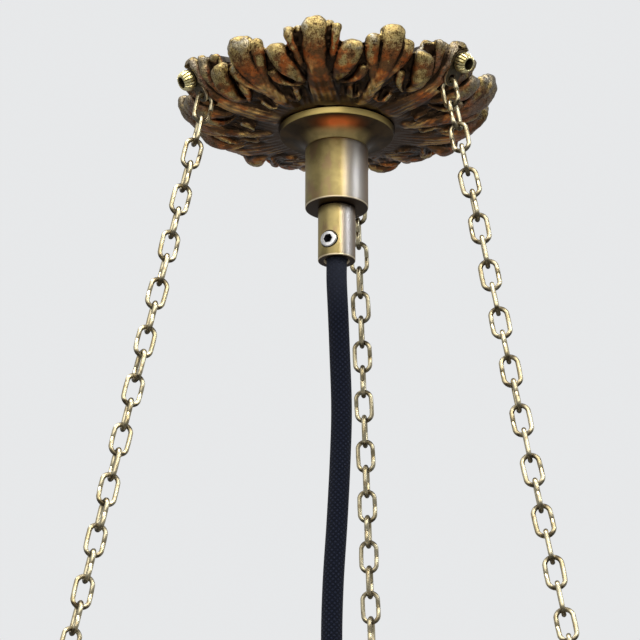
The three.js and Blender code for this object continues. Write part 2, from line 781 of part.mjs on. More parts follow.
// The cord's free stretch, from the grip to the lampholder, with the slight set that a braided flex keeps:
// the share of the stretch, and how far the cord is off its axis there
const cordStartZ = gripBottomZ - gap;
const cordEndZ = holderTopZ + gap;
const cordWave = [
  [0, 0, 0],
  [0.04, 0, 0],
  [0.108, 0.5, 0.1],
  [0.187, 1, 0.3],
  [0.3, 1.6, 0.4],
  [0.402, 1.2, 0.2],
  [0.526, 0.2, -0.2],
  [0.651, -1.1, -0.5],
  [0.764, -1.6, -0.5],
  [0.866, -1, -0.2],
  [0.945, -0.2, 0],
  [1, 0, 0],
];
const cordRoute = cordWave.map(([share, x, y]) => [x, y, THREE.MathUtils.lerp(cordStartZ, cordEndZ, share)]);

place('cord', wire(cordRoute, cordRadius, cordSides, cordSteps), 'braid');

export default lamp;
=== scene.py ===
# %% [markdown]
# # A hanging bowl lamp
# A cast leaf canopy sits under the ceiling. A braided cord carries the lampholder, and three chains carry a
# hoop with a glass bowl. The fixed frame gives every part's place; this file gives the parts their looks.

# %% Load the fixed frame
import math
import random

import bpy
import numpy as np
from mathutils import Matrix, Vector, noise as clouds
from mathutils.kdtree import KDTree


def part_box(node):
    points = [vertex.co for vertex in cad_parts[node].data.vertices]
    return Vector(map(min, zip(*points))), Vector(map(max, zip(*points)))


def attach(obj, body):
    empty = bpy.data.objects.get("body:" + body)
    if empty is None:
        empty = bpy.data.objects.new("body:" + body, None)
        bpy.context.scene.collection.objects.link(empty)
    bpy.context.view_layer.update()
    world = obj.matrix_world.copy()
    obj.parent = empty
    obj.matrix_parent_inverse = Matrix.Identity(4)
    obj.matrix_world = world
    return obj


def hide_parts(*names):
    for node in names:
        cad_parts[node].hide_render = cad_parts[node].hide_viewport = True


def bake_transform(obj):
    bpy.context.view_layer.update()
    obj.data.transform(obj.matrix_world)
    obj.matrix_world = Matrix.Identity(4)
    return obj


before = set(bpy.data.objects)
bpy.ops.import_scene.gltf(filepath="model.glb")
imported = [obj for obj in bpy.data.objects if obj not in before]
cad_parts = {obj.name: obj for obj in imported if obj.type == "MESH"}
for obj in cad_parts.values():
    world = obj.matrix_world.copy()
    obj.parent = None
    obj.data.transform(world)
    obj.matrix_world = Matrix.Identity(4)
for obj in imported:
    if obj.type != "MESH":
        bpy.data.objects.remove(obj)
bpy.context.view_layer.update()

mm = 0.001
sides = {"back": 90, "left": 210, "right": 330}

# %% [markdown]
# ## Camera
# The lamp was photographed from well below and far away, through a long lens, so upright lines stay upright
# and the canopy shows its underside. The place and the aim were found by fitting the chain links and the
# collar's round edges.

# %% Put the camera where the photograph was taken
camera_place = Vector((151.9, -1017.5, -480.7)) * mm
camera_heading = math.radians(8.81)
camera_tilt = math.radians(20.78)
camera_roll = math.radians(0.12)
bpy.ops.object.camera_add(location=camera_place)
camera = bpy.context.object
camera.data.sensor_width = 36
camera.data.lens = 180.3
camera.data.clip_start = 0.05
camera.data.clip_end = 60
aim = Matrix.Rotation(camera_heading, 4, "Z") @ Matrix.Rotation(math.pi / 2 + camera_tilt, 4, "X")
camera.matrix_world = Matrix.Translation(camera_place) @ aim @ Matrix.Rotation(camera_roll, 4, "Z")
bpy.context.scene.camera = camera

# %% [markdown]
# ## Shader sums
# A material is easier to read as a formula than as a list of links. This class wraps one socket, so that
# `base * 0.5 + noise` adds the Math nodes by itself.

# %% A socket that can be added, multiplied and compared
class Value:
    def __init__(self, tree, socket):
        self.tree = tree
        self.socket = socket

    def node(self, kind, settings=None, inputs=None, output=0):
        made = self.tree.nodes.new(kind)
        for name, value in (settings or {}).items():
            setattr(made, name, value)
        for name, value in (inputs or {}).items():
            feed(self.tree, made.inputs[name], value)
        return Value(self.tree, made.outputs[output])

    def math(self, operation, *values):
        return self.node("ShaderNodeMath", {"operation": operation}, dict(enumerate(values)))

    def __add__(self, other):
        return self.math("ADD", self, other)

    def __radd__(self, other):
        return self.math("ADD", other, self)

    def __sub__(self, other):
        return self.math("SUBTRACT", self, other)

    def __rsub__(self, other):
        return self.math("SUBTRACT", other, self)

    def __mul__(self, other):
        return self.math("MULTIPLY", self, other)

    def __rmul__(self, other):
        return self.math("MULTIPLY", other, self)

    def between(self, low, high):
        """0 below low, 1 above high and smooth in between; the two may be the other way round."""
        inputs = {"Value": self, "From Min": low, "From Max": high}
        return self.node("ShaderNodeMapRange", {"interpolation_type": "SMOOTHSTEP"}, inputs)

    def waves(self, length):
        """A sine wave from 0 to 1 along this value."""
        return self.math("SINE", self * (2 * math.pi / length)) * 0.5 + 0.5


def feed(tree, socket, value):
    if isinstance(value, Value):
        tree.links.new(value.socket, socket)
    else:
        socket.default_value = value


def larger(a, b):
    return a.math("MAXIMUM", a, b)


# %% The start and the end of every material
def new_material(name):
    """A material and the object's own coordinates, to build its formulas on."""
    material = bpy.data.materials.new(name)
    material.use_nodes = True
    place = material.node_tree.nodes.new("ShaderNodeTexCoord").outputs["Object"]
    return material, Value(material.node_tree, place)


def shader(material, **inputs):
    """Sets the Principled shader's sockets: base_color becomes Base Color, and so on."""
    principled = material.node_tree.nodes["Principled BSDF"]
    for name, value in inputs.items():
        label = name.replace("_", " ").title().replace("Ior", "IOR")
        feed(material.node_tree, principled.inputs[label], value)
    return material


def mix(a, b, share):
    """The colour between a and b, at a share that is a Value."""
    a, b = (colour if isinstance(colour, Value) else (*colour, 1) for colour in (a, b))
    return share.node("ShaderNodeMix", {"data_type": "RGBA"}, {0: share, 6: a, 7: b}, output=2)


def noise(place, size, detail=3, roughness=0.5):
    """Cloudy noise from 0 to 1, with spots about as large as size, in metres."""
    inputs = {"Vector": place, "Scale": 1 / size, "Detail": detail, "Roughness": roughness}
    return place.node("ShaderNodeTexNoise", None, inputs)


def stretched(place, x, y, z):
    """The place multiplied along its axes; below 1 draws a pattern out, above 1 presses it together."""
    return place.node("ShaderNodeMapping", None, {"Vector": place, "Scale": (x, y, z)})


def bump(height, distance, strength=1.0):
    """Shading for a fine relief, whose height runs from 0 to 1 over a distance in metres."""
    inputs = {"Height": height, "Distance": distance, "Strength": strength}
    return height.node("ShaderNodeBump", None, inputs)


def attribute(place, name):
    """A number that the mesh carries at each of its points."""
    return place.node("ShaderNodeAttribute", {"attribute_name": name}, None, output=2)


def split(place):
    """The X, Y and Z of a place."""
    x = place.node("ShaderNodeSeparateXYZ", None, {"Vector": place})
    return [Value(place.tree, socket) for socket in x.socket.node.outputs]


# %% [markdown]
# ## Mesh helpers
# Each piece is shaped where it belongs, and its place ends up in its mesh, like that of the frame's nodes.
# A helper below names the piece, paints it, makes it ride on its body and hides the plain node it replaces.

# %% Helpers for all pieces
def only(piece):
    bpy.ops.object.select_all(action="DESELECT")
    piece.select_set(True)
    bpy.context.view_layer.objects.active = piece
    return piece


def settle(piece):
    """Bakes the object's place, turn and size into its mesh."""
    only(piece)
    bpy.ops.object.transform_apply(location=True, rotation=True, scale=True)
    return piece


def modify(piece, kind, **settings):
    """Adds a modifier, sets it and applies it."""
    modifier = piece.modifiers.new(kind.lower(), kind)
    for name, value in settings.items():
        setattr(modifier, name, value)
    only(piece)
    bpy.ops.object.modifier_apply(modifier=modifier.name)
    return piece


def smooth(piece, degrees=40):
    only(piece)
    bpy.ops.object.shade_smooth_by_angle(angle=math.radians(degrees))
    return piece


def soft_edges(piece, width, segments=2):
    modify(piece, "BEVEL", width=width * mm, segments=segments, limit_method="ANGLE",
           angle_limit=math.radians(35), use_clamp_overlap=True)
    return smooth(piece)


def joined(pieces):
    bpy.ops.object.select_all(action="DESELECT")
    for piece in pieces:
        piece.select_set(True)
    bpy.context.view_layer.objects.active = pieces[0]
    bpy.ops.object.join()
    return bpy.context.object


def tidy_mesh(piece, fill=False):
    """Merges doubled points, closes open ends if asked, and turns every face outwards."""
    only(piece)
    bpy.ops.object.mode_set(mode="EDIT")
    bpy.ops.mesh.select_all(action="SELECT")
    bpy.ops.mesh.remove_doubles(threshold=1e-6)
    if fill:
        bpy.ops.mesh.fill_holes(sides=0)
    bpy.ops.mesh.normals_make_consistent(inside=False)
    bpy.ops.object.mode_set(mode="OBJECT")
    return piece


def combine(piece, tool, operation="DIFFERENCE", solver="EXACT"):
    """Cuts the tool out of the piece, or adds it, and deletes the tool."""
    modify(piece, "BOOLEAN", object=tool, operation=operation, solver=solver)
    bpy.data.objects.remove(tool)
    return piece


def cut(piece, tool):
    """Cuts with the quick solver, which needs closed and clean meshes."""
    return combine(piece, tool, "DIFFERENCE", "MANIFOLD")


def add(piece, part):
    return combine(piece, part, "UNION", "MANIFOLD")


def points_of(piece):
    points = np.empty(len(piece.data.vertices) * 3)
    piece.data.vertices.foreach_get("co", points)
    return points.reshape(-1, 3)


def normals_of(piece):
    normals = np.empty(len(piece.data.vertices) * 3)
    piece.data.vertices.foreach_get("normal", normals)
    return normals.reshape(-1, 3)


def polar(points):
    """Each point's distance from the Z axis, and its turn about it in radians."""
    return np.hypot(points[:, 0], points[:, 1]), np.arctan2(points[:, 1], points[:, 0])


def ramp(values, start, length):
    """For each value, 0 before the start and 1 past the length; a negative length falls from 1 to 0."""
    return np.clip((values - start) / length, 0, 1)


def set_points(piece, points):
    piece.data.vertices.foreach_set("co", np.asarray(points).ravel())
    piece.data.update()
    return piece


def about_z(degrees):
    return Matrix.Rotation(math.radians(degrees), 4, "Z")


def moved(piece, matrix):
    """Moves the mesh itself, so that the object stays at the origin."""
    piece.data.transform(matrix)
    piece.data.update()
    return piece


def finish(piece, name, body, slot, material, *nodes):
    """Names and paints a piece, makes it ride on a body, and hides the plain nodes it stands for."""
    piece.name = name
    piece.data.name = name
    piece.data.materials.clear()
    piece.data.materials.append(material)
    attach(piece, body)
    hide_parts(*nodes)
    return piece


def copy_of(piece, matrix):
    """A copy with its own mesh, moved by a matrix."""
    twin = piece.copy()
    twin.data = piece.data.copy()
    bpy.context.scene.collection.objects.link(twin)
    return moved(twin, matrix)


# %% Primitives at their size and place, in millimetres
def box(low, high):
    low, high = Vector(low) * mm, Vector(high) * mm
    bpy.ops.mesh.primitive_cube_add(size=1, location=(low + high) / 2)
    bpy.context.object.scale = high - low
    return settle(bpy.context.object)


def rod(radius, low, high, facets=64, axis="Z", at=(0, 0)):
    """A round bar between two places on an axis; at gives its place across that axis."""
    bpy.ops.mesh.primitive_cylinder_add(vertices=facets, radius=radius * mm, depth=(high - low) * mm)
    bar = bpy.context.object
    middle = (high + low) / 2
    turn = {"Z": (0, 0, 0), "X": (0, math.pi / 2, 0), "Y": (math.pi / 2, 0, 0)}[axis]
    where = {"Z": (*at, middle), "X": (middle, *at), "Y": (at[0], middle, at[1])}[axis]
    bar.rotation_euler = turn
    bar.location = Vector(where) * mm
    return settle(bar)


# %% A turned piece: corners with their rounding, spun about the axis as on a lathe
def rounded(corners, steps=4):
    """Corners (radius, height, rounding) of a closed outline; each corner becomes a small arc."""
    outline = []
    for i, (x, z, size) in enumerate(corners):
        here = Vector((x, z))
        back = Vector(corners[i - 1][:2]) - here
        ahead = Vector(corners[(i + 1) % len(corners)][:2]) - here
        if size == 0 or back.length == 0 or ahead.length == 0:
            outline.append(here)
            continue
        size = min(size, back.length * 0.45, ahead.length * 0.45)
        start, end = here + back.normalized() * size, here + ahead.normalized() * size
        for step in range(steps + 1):
            t = step / steps
            outline.append(start * (1 - t) ** 2 + here * 2 * t * (1 - t) + end * t ** 2)
    return outline


def turned(corners, steps=96):
    """The closed outline spun about the Z axis; edges that lie on the axis are left out."""
    outline = rounded([(*corner, 0)[:3] for corner in corners])
    mesh = bpy.data.meshes.new("outline")
    pairs = [(i, (i + 1) % len(outline)) for i in range(len(outline))]
    edges = [(i, j) for i, j in pairs if max(outline[i][0], outline[j][0]) > 0]
    mesh.from_pydata([(x * mm, 0, z * mm) for x, z in outline], edges, [])
    piece = bpy.data.objects.new("turned", mesh)
    bpy.context.scene.collection.objects.link(piece)
    only(piece)
    bpy.ops.object.mode_set(mode="EDIT")
    bpy.ops.mesh.select_all(action="SELECT")
    bpy.ops.mesh.spin(steps=steps, angle=2 * math.pi, center=(0, 0, 0), axis=(0, 0, 1))
    bpy.ops.object.mode_set(mode="OBJECT")
    return smooth(tidy_mesh(piece))


# %% A smooth curve through points, and a round tube along it
def smooth_line(points, steps):
    """Each stretch is a cubic whose slopes come from the neighbouring points."""
    points = np.asarray(points, dtype=float)
    before = np.vstack([points[:1], points[:-2]])
    after = np.vstack([points[2:], points[-1:]])
    a, b = points[:-1], points[1:]
    share = np.arange(steps)[None, :, None] / steps
    a, b, before, after = (v[:, None, :] for v in (a, b, before, after))
    line = 0.5 * (2 * a + (b - before) * share + (2 * before - 5 * a + 4 * b - after) * share ** 2
                  + (3 * a - before - 3 * b + after) * share ** 3)
    return np.vstack([line.reshape(-1, points.shape[1]), points[-1:]])


def cubic(corners, steps):
    """A curve from the first of four corners to the last, drawn towards the two between."""
    a, b, c, d = (Vector(corner) for corner in corners)
    shares = [i / steps for i in range(steps + 1)]
    return [tuple(a * (1 - t) ** 3 + b * 3 * t * (1 - t) ** 2 + c * 3 * t ** 2 * (1 - t) + d * t ** 3)
            for t in shares]


def travelled(line):
    """The way along a line up to each of its points."""
    return np.concatenate([[0], np.cumsum(np.linalg.norm(np.diff(line, axis=0), axis=1))])


def tube(line, radius, facets):
    """A round tube with a map: around in turns, along in metres. A grid is rolled up along the line."""
    line = np.asarray(line)
    rings = len(line)
    bpy.ops.mesh.primitive_grid_add(x_subdivisions=facets, y_subdivisions=rings - 1, size=2)
    piece = bpy.context.object
    grid = points_of(piece)
    column = np.rint((grid[:, 0] + 1) / 2 * facets).astype(int)
    row = np.rint((grid[:, 1] + 1) / 2 * (rings - 1)).astype(int)
    ahead = np.gradient(line, axis=0)
    ahead /= np.linalg.norm(ahead, axis=1)[:, None]
    across = np.cross([0.0, 1.0, 0.0], ahead)
    across /= np.linalg.norm(across, axis=1)[:, None]
    other = np.cross(ahead, across)
    angle = (2 * math.pi * column / facets)[:, None]
    set_points(piece, line[row] + radius * (across[row] * np.cos(angle) + other[row] * np.sin(angle)))
    way = travelled(line)
    around_along = piece.data.uv_layers[0]
    around_along.name = "around_along"
    corners = np.empty(len(piece.data.loops), dtype=int)
    piece.data.loops.foreach_get("vertex_index", corners)
    places = np.stack([column[corners] / facets, way[row[corners]]], axis=1)
    around_along.data.foreach_set("uv", places.ravel())
    return smooth(tidy_mesh(piece, fill=True), 60)


# %% [markdown]
# ## Cord
# A textile flex of 7.1 mm leaves the grip and hangs to the lampholder, with a slight wave that it keeps
# from the reel. A bezier curve with a bevel could draw it too, but a grid that is rolled up along a smooth
# line brings its own map for the weave. It starts inside the grip and ends inside the lampholder's entry.

# %% The cord's route, with the same wave as in the frame
grip_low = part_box("cord_grip")[0].z / mm
holder_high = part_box("holder_grip")[1].z / mm
cord_gap = 0.3
cord_radius = 3.55
cord_start, cord_end = grip_low - cord_gap, holder_high + cord_gap
cord_wave = [(0, 0, 0), (0.04, 0, 0), (0.108, 0.5, 0.1), (0.187, 1, 0.3), (0.3, 1.6, 0.4),
             (0.402, 1.2, 0.2), (0.526, 0.2, -0.2), (0.651, -1.1, -0.5), (0.764, -1.6, -0.5),
             (0.866, -1, -0.2), (0.945, -0.2, 0), (1, 0, 0)]
cord_hidden = 1.6
cord_route = [(x, y, cord_start + (cord_end - cord_start) * share) for share, x, y in cord_wave]
cord_route = [(0, 0, cord_start + cord_hidden), *cord_route, (0, 0, cord_end - cord_hidden)]
cord_line = smooth_line(cord_route, 8) * mm
cord = tube(cord_line, cord_radius * mm, 40)
print("cord length, mm:", round(travelled(cord_line)[-1] / mm, 1), "faces:", len(cord.data.polygons))

# %% [markdown]
# ## Braid
# The sleeve is woven from flat bundles of dark navy thread that cross at a slant. Two sets of slanted waves
# on the cord's own map make the bundles, and where both are high a crown stands out. Paler fluff catches the
# light on some of the crowns, and the stretch under the grip is painted paler, as painted light from above.

# %% Braid material
def navy_braid():
    material, place = new_material("navy_braid")
    uv = place.node("ShaderNodeUVMap", {"uv_map": "around_along"})
    around, along = split(uv)[:2]
    bundles, pitch = 12, 22 * mm
    painted_light_top, painted_light_end = (grip_low - 2) * mm, (grip_low - 24) * mm
    right = (around * bundles + along * (bundles / pitch)).waves(1)
    left = (around * bundles - along * (bundles / pitch)).waves(1)
    crown = right * left
    thread = noise(place, 0.3 * mm, 2)
    cloud = noise(place, 5 * mm, 2)
    lit = (crown + thread * 0.4).between(0.15, 1.0)
    dark = mix((0.0035, 0.0050, 0.0115), (0.0120, 0.0160, 0.0340), lit)
    fluff = crown.between(0.35, 0.9) * thread.between(0.5, 0.68) * cloud.between(0.42, 0.62)
    colour = mix(dark, (0.050, 0.056, 0.082), fluff * 0.6)
    # Painted light: the stretch just under the grip is painted paler, as the top of the cord is lit.
    painted_light = split(place)[2].between(painted_light_end, painted_light_top)
    colour = mix(colour, (0.036, 0.041, 0.062), painted_light * (thread * 0.5 + 0.35))
    relief = bump(crown + thread * 0.35, 0.16 * mm, 0.8)
    return shader(material, base_color=colour, roughness=thread * 0.2 + 0.72, normal=relief,
                  sheen_weight=0.05, sheen_roughness=0.6, specular_ior_level=0.05)


braid = navy_braid()
cord.name = cord.data.name = "cord_braid"
cord.data.materials.append(braid)
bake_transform(cord)
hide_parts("cord")

# %% Hidden stretches of the same cord, in the column and in the lampholder
hidden_stretches = (("upper_cord", "root", "cord_in_column"),
                    ("lower_cord", "lampholder", "cord_in_holder"))
for node, body, name in hidden_stretches:
    low, high = (corner.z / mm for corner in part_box(node))
    low, high = (cord_start + cord_hidden, high) if body == "root" else (low, cord_end - cord_hidden)
    inner_line = np.array([(0, 0, low + (high - low) * i / 6) for i in range(7)]) * mm
    finish(tube(inner_line, cord_radius * mm, 32), name, body, "cord_braid", braid, node)

# %% [markdown]
# ## Light, floor and background
# The background is plain and pale. World and floor show it to the camera and through glass. In reflections
# the world is half as bright, and the even light that it gives the object is weaker still. Six soft lamps do
# the rest. An upright tube that is seen from below mirrors what stands above it, so a warm and a cool lamp,
# narrow and tall, stand higher than the collar and draw its two bright streaks. Two low ones in front reach
# the flange's rim and the front leaves. Two high ones model the leaves from the left and from the front.

# %% World, floor and lamps
def light_path(tree, *names):
    """1 for rays of that kind and 0 for all others, one value for each name."""
    path = tree.nodes.new("ShaderNodeLightPath")
    return [Value(tree, path.outputs[name]) for name in names]


def pale_world():
    light, shown, mirrored = 0.36, 0.64, 0.12
    world = bpy.data.worlds.new("pale_room")
    world.use_nodes = True
    bpy.context.scene.world = world
    tree = world.node_tree
    camera_ray, glossy, clear = light_path(tree, "Is Camera Ray", "Is Glossy Ray", "Is Transmission Ray")
    background = tree.nodes["Background"]
    background.inputs["Color"].default_value = (0.80, 0.81, 0.82, 1)
    feed(tree, background.inputs["Strength"], larger(camera_ray, clear) * shown + glossy * mirrored + light)


def pale_floor():
    """A wide floor far below. It glows to the camera and through glass only, to be as pale as the world."""
    floor_size, floor_height = 300, -3.0
    bpy.ops.mesh.primitive_plane_add(size=floor_size, location=(0, 0, floor_height))
    floor = bpy.context.object
    floor.name = "floor"
    material, place = new_material("pale_floor")
    paint = mix((0.68, 0.69, 0.70), (0.72, 0.73, 0.74), noise(place, 0.8, 2))
    camera_ray, clear = light_path(place.tree, "Is Camera Ray", "Is Transmission Ray")
    glow = mix((0.0, 0.0, 0.0), (0.60, 0.605, 0.61), larger(camera_ray, clear))
    shader(material, base_color=paint, roughness=0.8, emission_color=glow, emission_strength=1.0)
    floor.data.materials.append(material)


def soft_lamp(name, turn, rise, distance, size, power, colour):
    """A soft lamp at a turn and a rise in degrees, seen from the lamp's collar, and aimed at it."""
    target = Vector((0, 0, -0.04))
    turn, rise = math.radians(turn), math.radians(rise)
    offset = Vector((math.cos(turn) * math.cos(rise), math.sin(turn) * math.cos(rise), math.sin(rise)))
    bpy.ops.object.light_add(type="AREA", location=target + offset * distance)
    lamp = bpy.context.object
    lamp.name = name
    lamp.data.shape = "RECTANGLE"
    lamp.data.size, lamp.data.size_y = size
    lamp.data.energy = power
    lamp.data.color = colour
    lamp.rotation_euler = (-offset).to_track_quat("-Z", "Y").to_euler()


pale_world()
pale_floor()
soft_lamps = {
    "warm_window": (-56, 24, 1.4, (0.24, 0.75), 6.0, (1.0, 0.93, 0.78)),
    "cool_window": (-8, 24, 1.4, (0.26, 0.75), 3.6, (0.80, 0.88, 1.0)),
    "front_broad": (-108, 14, 1.5, (1.50, 1.50), 6.6, (1.0, 0.97, 0.90)),
    "front_narrow": (-82, 10, 1.5, (0.60, 1.30), 2.6, (1.0, 0.96, 0.86)),
    "left_top": (-150, 64, 1.5, (0.8, 0.8), 13, (1.0, 0.97, 0.92)),
    "front_top": (-70, 66, 1.5, (0.8, 0.8), 14, (1.0, 0.98, 0.95)),
}
for name, settings in soft_lamps.items():
    soft_lamp(name, *settings)
bpy.context.scene.view_settings.view_transform = "Standard"
print("lamps:", len(soft_lamps))

# %% [markdown]
# ## Canopy
# The canopy is one casting: six long leaves, with forked ones between them, each made of finger-like lobes
# with thick rolled tips. It is built as a sculptor would in clay. A plain cup comes first. Rolls of clay are
# laid on it along the leaf line: a middle, fingers and a broad curl for each leaf, an eyelid and a scroll
# around the hollow beside its stem, and a fork between two leaves. Chance makes each roll a little wider,
# longer or more aside than its twin, as a hand does. A voxel remesh then melts everything together, and the
# creases and hollows are pressed in last.

# %% The leaf line, from the flange out to the tips, and places beside it
leaf_corners = np.array([(20, -18.9), (36, -18.6), (52, -14.5), (54, -2.5)])
seat_z = leaf_corners[0, 1]
seat_hole = 5.3
cup_wall = 3.2
leaf_turns = [90 + 60 * k for k in range(6)]
front_turn = -90
drawn_in, drawn_until = 1.5, 120


def leaf_line(along):
    """Radius and height on the leaf line, and the line's direction there."""
    a, b, c, d = leaf_corners[:, None, :]
    along = np.atleast_1d(along).astype(float)[:, None]
    back = 1 - along
    place = a * back ** 3 + 3 * b * back ** 2 * along + 3 * c * back * along ** 2 + d * along ** 3
    slope = (b - a) * back ** 2 + 2 * (c - b) * back * along + (d - c) * along ** 2
    return place, slope / np.linalg.norm(slope, axis=1)[:, None]


def from_front(turn):
    """Degrees from the front leaf, and how much closer to it the uneven casting draws what lies there."""
    off = (np.asarray(turn, dtype=float) - front_turn + 180) % 360 - 180
    near = np.minimum(np.abs(off), drawn_until)
    return off, drawn_in * np.sign(off) * np.sin(np.pi * near / drawn_until)


def uneven(turn):
    """The turn at which the casting has what an even one would have at the given turn."""
    off, drift = from_front(turn)
    return front_turn + off - drift


def on_leaf(turn, along, out):
    """Points at a turn in degrees, along the leaf line and out from it, and two directions there."""
    place, slope = leaf_line(along)
    turn = np.radians(np.atleast_1d(turn))
    cos, sin, zero = np.cos(turn), np.sin(turn), np.zeros(len(turn))
    around = np.stack([-sin, cos, zero], axis=1)
    away = np.stack([cos * slope[:, 1], sin * slope[:, 1], -slope[:, 0]], axis=1)
    centre = np.stack([cos * place[:, 0], sin * place[:, 0], place[:, 1]], axis=1)
    return centre + away * np.atleast_1d(out)[:, None], around, away


# %% Stations of the rolls: turn from the leaf's middle, way along, half width, half depth, lift
own_rolls = {
    "middle": [(0, 0.00, 4.4, 0.6, -0.2), (0, 0.25, 4.1, 1.0, 0.1), (0, 0.50, 3.9, 1.5, 0.5),
               (0, 0.70, 3.9, 2.1, 0.9), (0, 0.88, 4.2, 2.6, 1.0), (0, 1.04, 4.1, 2.4, 0.6)],
    "close finger": [(4.9, 0.52, 0.9, 0.9, -0.3), (5.6, 0.74, 1.2, 1.5, 0.1),
                     (6.2, 0.98, 1.3, 1.5, -0.6)],
    "finger": [(6.4, 0.46, 1.0, 0.8, -0.6), (6.9, 0.60, 1.3, 1.5, 0.5),
               (8.2, 0.78, 1.7, 2.0, 1.0), (9.4, 0.95, 1.8, 2.0, 0.5)],
    "curl": [(9.4, 0.36, 1.2, 0.8, -0.5), (10.2, 0.46, 2.2, 1.8, 0.8),
             (13.2, 0.62, 3.6, 2.9, 1.9), (15.8, 0.82, 3.9, 2.9, 1.1)],
    "eyelid": [(10.6, 0.34, 0.7, 0.6, 0.0), (15.0, 0.385, 1.2, 1.2, 0.7), (19.5, 0.46, 1.7, 1.7, 1.2),
               (21.6, 0.58, 1.9, 1.8, 0.9)],
    "scroll": [(24.5, 0.29, 0.6, 0.5, -0.3), (23.5, 0.21, 1.0, 0.9, 0.2), (20.5, 0.18, 1.1, 1.0, 0.5),
               (17.6, 0.22, 1.1, 1.1, 0.6), (17.0, 0.30, 0.9, 0.9, 0.3)],
}
fork_rolls = {
    "fork": [(0, 0.04, 1.9, 0.7, 0.0), (0, 0.25, 2.2, 1.1, 0.4), (0, 0.48, 2.9, 1.7, 0.9),
             (0, 0.68, 3.9, 2.4, 1.3), (0, 0.84, 4.4, 2.7, 1.3), (0, 0.985, 4.1, 2.4, 0.7)],
    "fork side": [(2.6, 0.40, 1.2, 1.0, 0.0), (4.4, 0.54, 2.0, 1.7, 0.7), (6.6, 0.70, 2.8, 2.3, 1.0),
                  (7.2, 0.87, 2.8, 2.1, 0.5)],
}
backing_roll = [(12.5, 0.50, 3.0, 1.3, -1.0), (12.5, 0.70, 3.4, 1.4, -1.3),
                (12.5, 0.93, 3.4, 1.3, -1.7)]
short_side = {-120: -1, 0: 1, 120: -1}
broad_forks = {-120: 1.12, 0: 1.28}
hand_made = random.Random(4)
hand_aside, hand_length, hand_width = 0.5, 0.018, 0.07
sunk_at_back = 1.3
roll_samples = []


# %% Lay the rolls on a cup
def scaled(stations, turn=1, along=1, wide=1):
    """Stations whose turn, way along and half width are multiplied."""
    return [(a * turn, b * along, c * wide, deep, lift) for a, b, c, deep, lift in stations]


def clay_roll(middle_turn, stations, side=1):
    """A sphere whose rings are laid along the stations; its last rings round off the tip."""
    wider, longer, aside = (hand_made.uniform(-1, 1) for _ in range(3))
    path = smooth_line(stations, 12)
    path[:, 0] += hand_aside * aside * path[:, 1]
    path[:, 1] *= 1 + hand_length * longer
    path[:, 2] *= 1 + hand_width * wider
    path[:, 4] -= sunk_at_back * max(0, math.cos(math.radians(middle_turn - 90)))
    turn = uneven(middle_turn + side * path[:, 0])
    centres = on_leaf(turn, path[:, 1], path[:, 4])[0]
    way = travelled(centres)
    tip_share, tip_length = 0.3, 0.75 * path[-1, 2]
    bpy.ops.mesh.primitive_uv_sphere_add(segments=16, ring_count=28)
    roll = bpy.context.object
    ball = points_of(roll)
    share = np.arccos(np.clip(ball[:, 2], -1, 1)) / math.pi
    angle = polar(ball)[1]
    bend = np.clip((share - 1 + tip_share) / tip_share, 0, 1) * math.pi / 2
    rest = way[-1] - tip_length
    place = np.where(bend > 0, rest + tip_length * np.sin(bend), rest * share / (1 - tip_share))
    full = np.cos(bend) ** 0.6 * (share > 1e-4)
    flat_top = np.sign(np.sin(angle)) * np.abs(np.sin(angle)) ** 0.75
    along, wide, deep, lift = (np.interp(place, way, path[:, k]) for k in (1, 2, 3, 4))
    centre, around, away = on_leaf(np.interp(place, way, turn), along, lift)
    across = around * (np.cos(angle) * wide * full)[:, None]
    points = centre + across + away * (flat_top * deep * full)[:, None]
    samples = zip(centres, way / way[-1], path[:, 2])
    roll_samples.append([(Vector(centre), done, half) for centre, done, half in samples])
    return set_points(roll, points * mm)


def canopy_cup():
    """The wall under the leaves, up to where the gaps between their tips begin."""
    reach = 0.76
    outer, slope = leaf_line(np.linspace(0, reach, 15))
    inner = outer + np.stack([-slope[:, 1], slope[:, 0]], axis=1) * (cup_wall - 0.4)
    seat_top = seat_z + cup_wall
    seat, rim = [(seat_hole, seat_top), (seat_hole, seat_z)], (leaf_corners[0, 0], seat_top)
    return turned([*seat, *map(tuple, outer), *map(tuple, inner[:0:-1]), rim], 180)


def canopy_clay():
    pieces = [canopy_cup()]
    for turn in leaf_turns:
        pieces.append(clay_roll(turn, own_rolls["middle"]))
        fork_turn = round(turn + 30 + 180) % 360 - 180
        broader = broad_forks.get(fork_turn, 1)
        pieces.append(clay_roll(fork_turn, scaled(fork_rolls["fork"], wide=broader)))
        for side in (-1, 1):
            for name in ("close finger", "finger", "curl", "eyelid", "scroll"):
                pieces.append(clay_roll(turn, own_rolls[name], side))
            if turn in sides.values():
                pieces.append(clay_roll(turn, backing_roll, side))
            fork_side = fork_rolls["fork side"]
            if short_side.get(fork_turn) == side:
                fork_side = scaled(fork_side, along=0.86, wide=0.9)
            elif broader > 1:
                fork_side = scaled(fork_side, turn=0.92, along=1.03)
            pieces.append(clay_roll(fork_turn, fork_side, side))
    return joined(pieces)


canopy = canopy_clay()
only(canopy)
canopy.data.remesh_voxel_size = 0.6 * mm
bpy.ops.object.voxel_remesh()
modify(canopy, "SMOOTH", factor=0.5, iterations=2)
print("canopy faces after the remesh:", len(canopy.data.polygons))


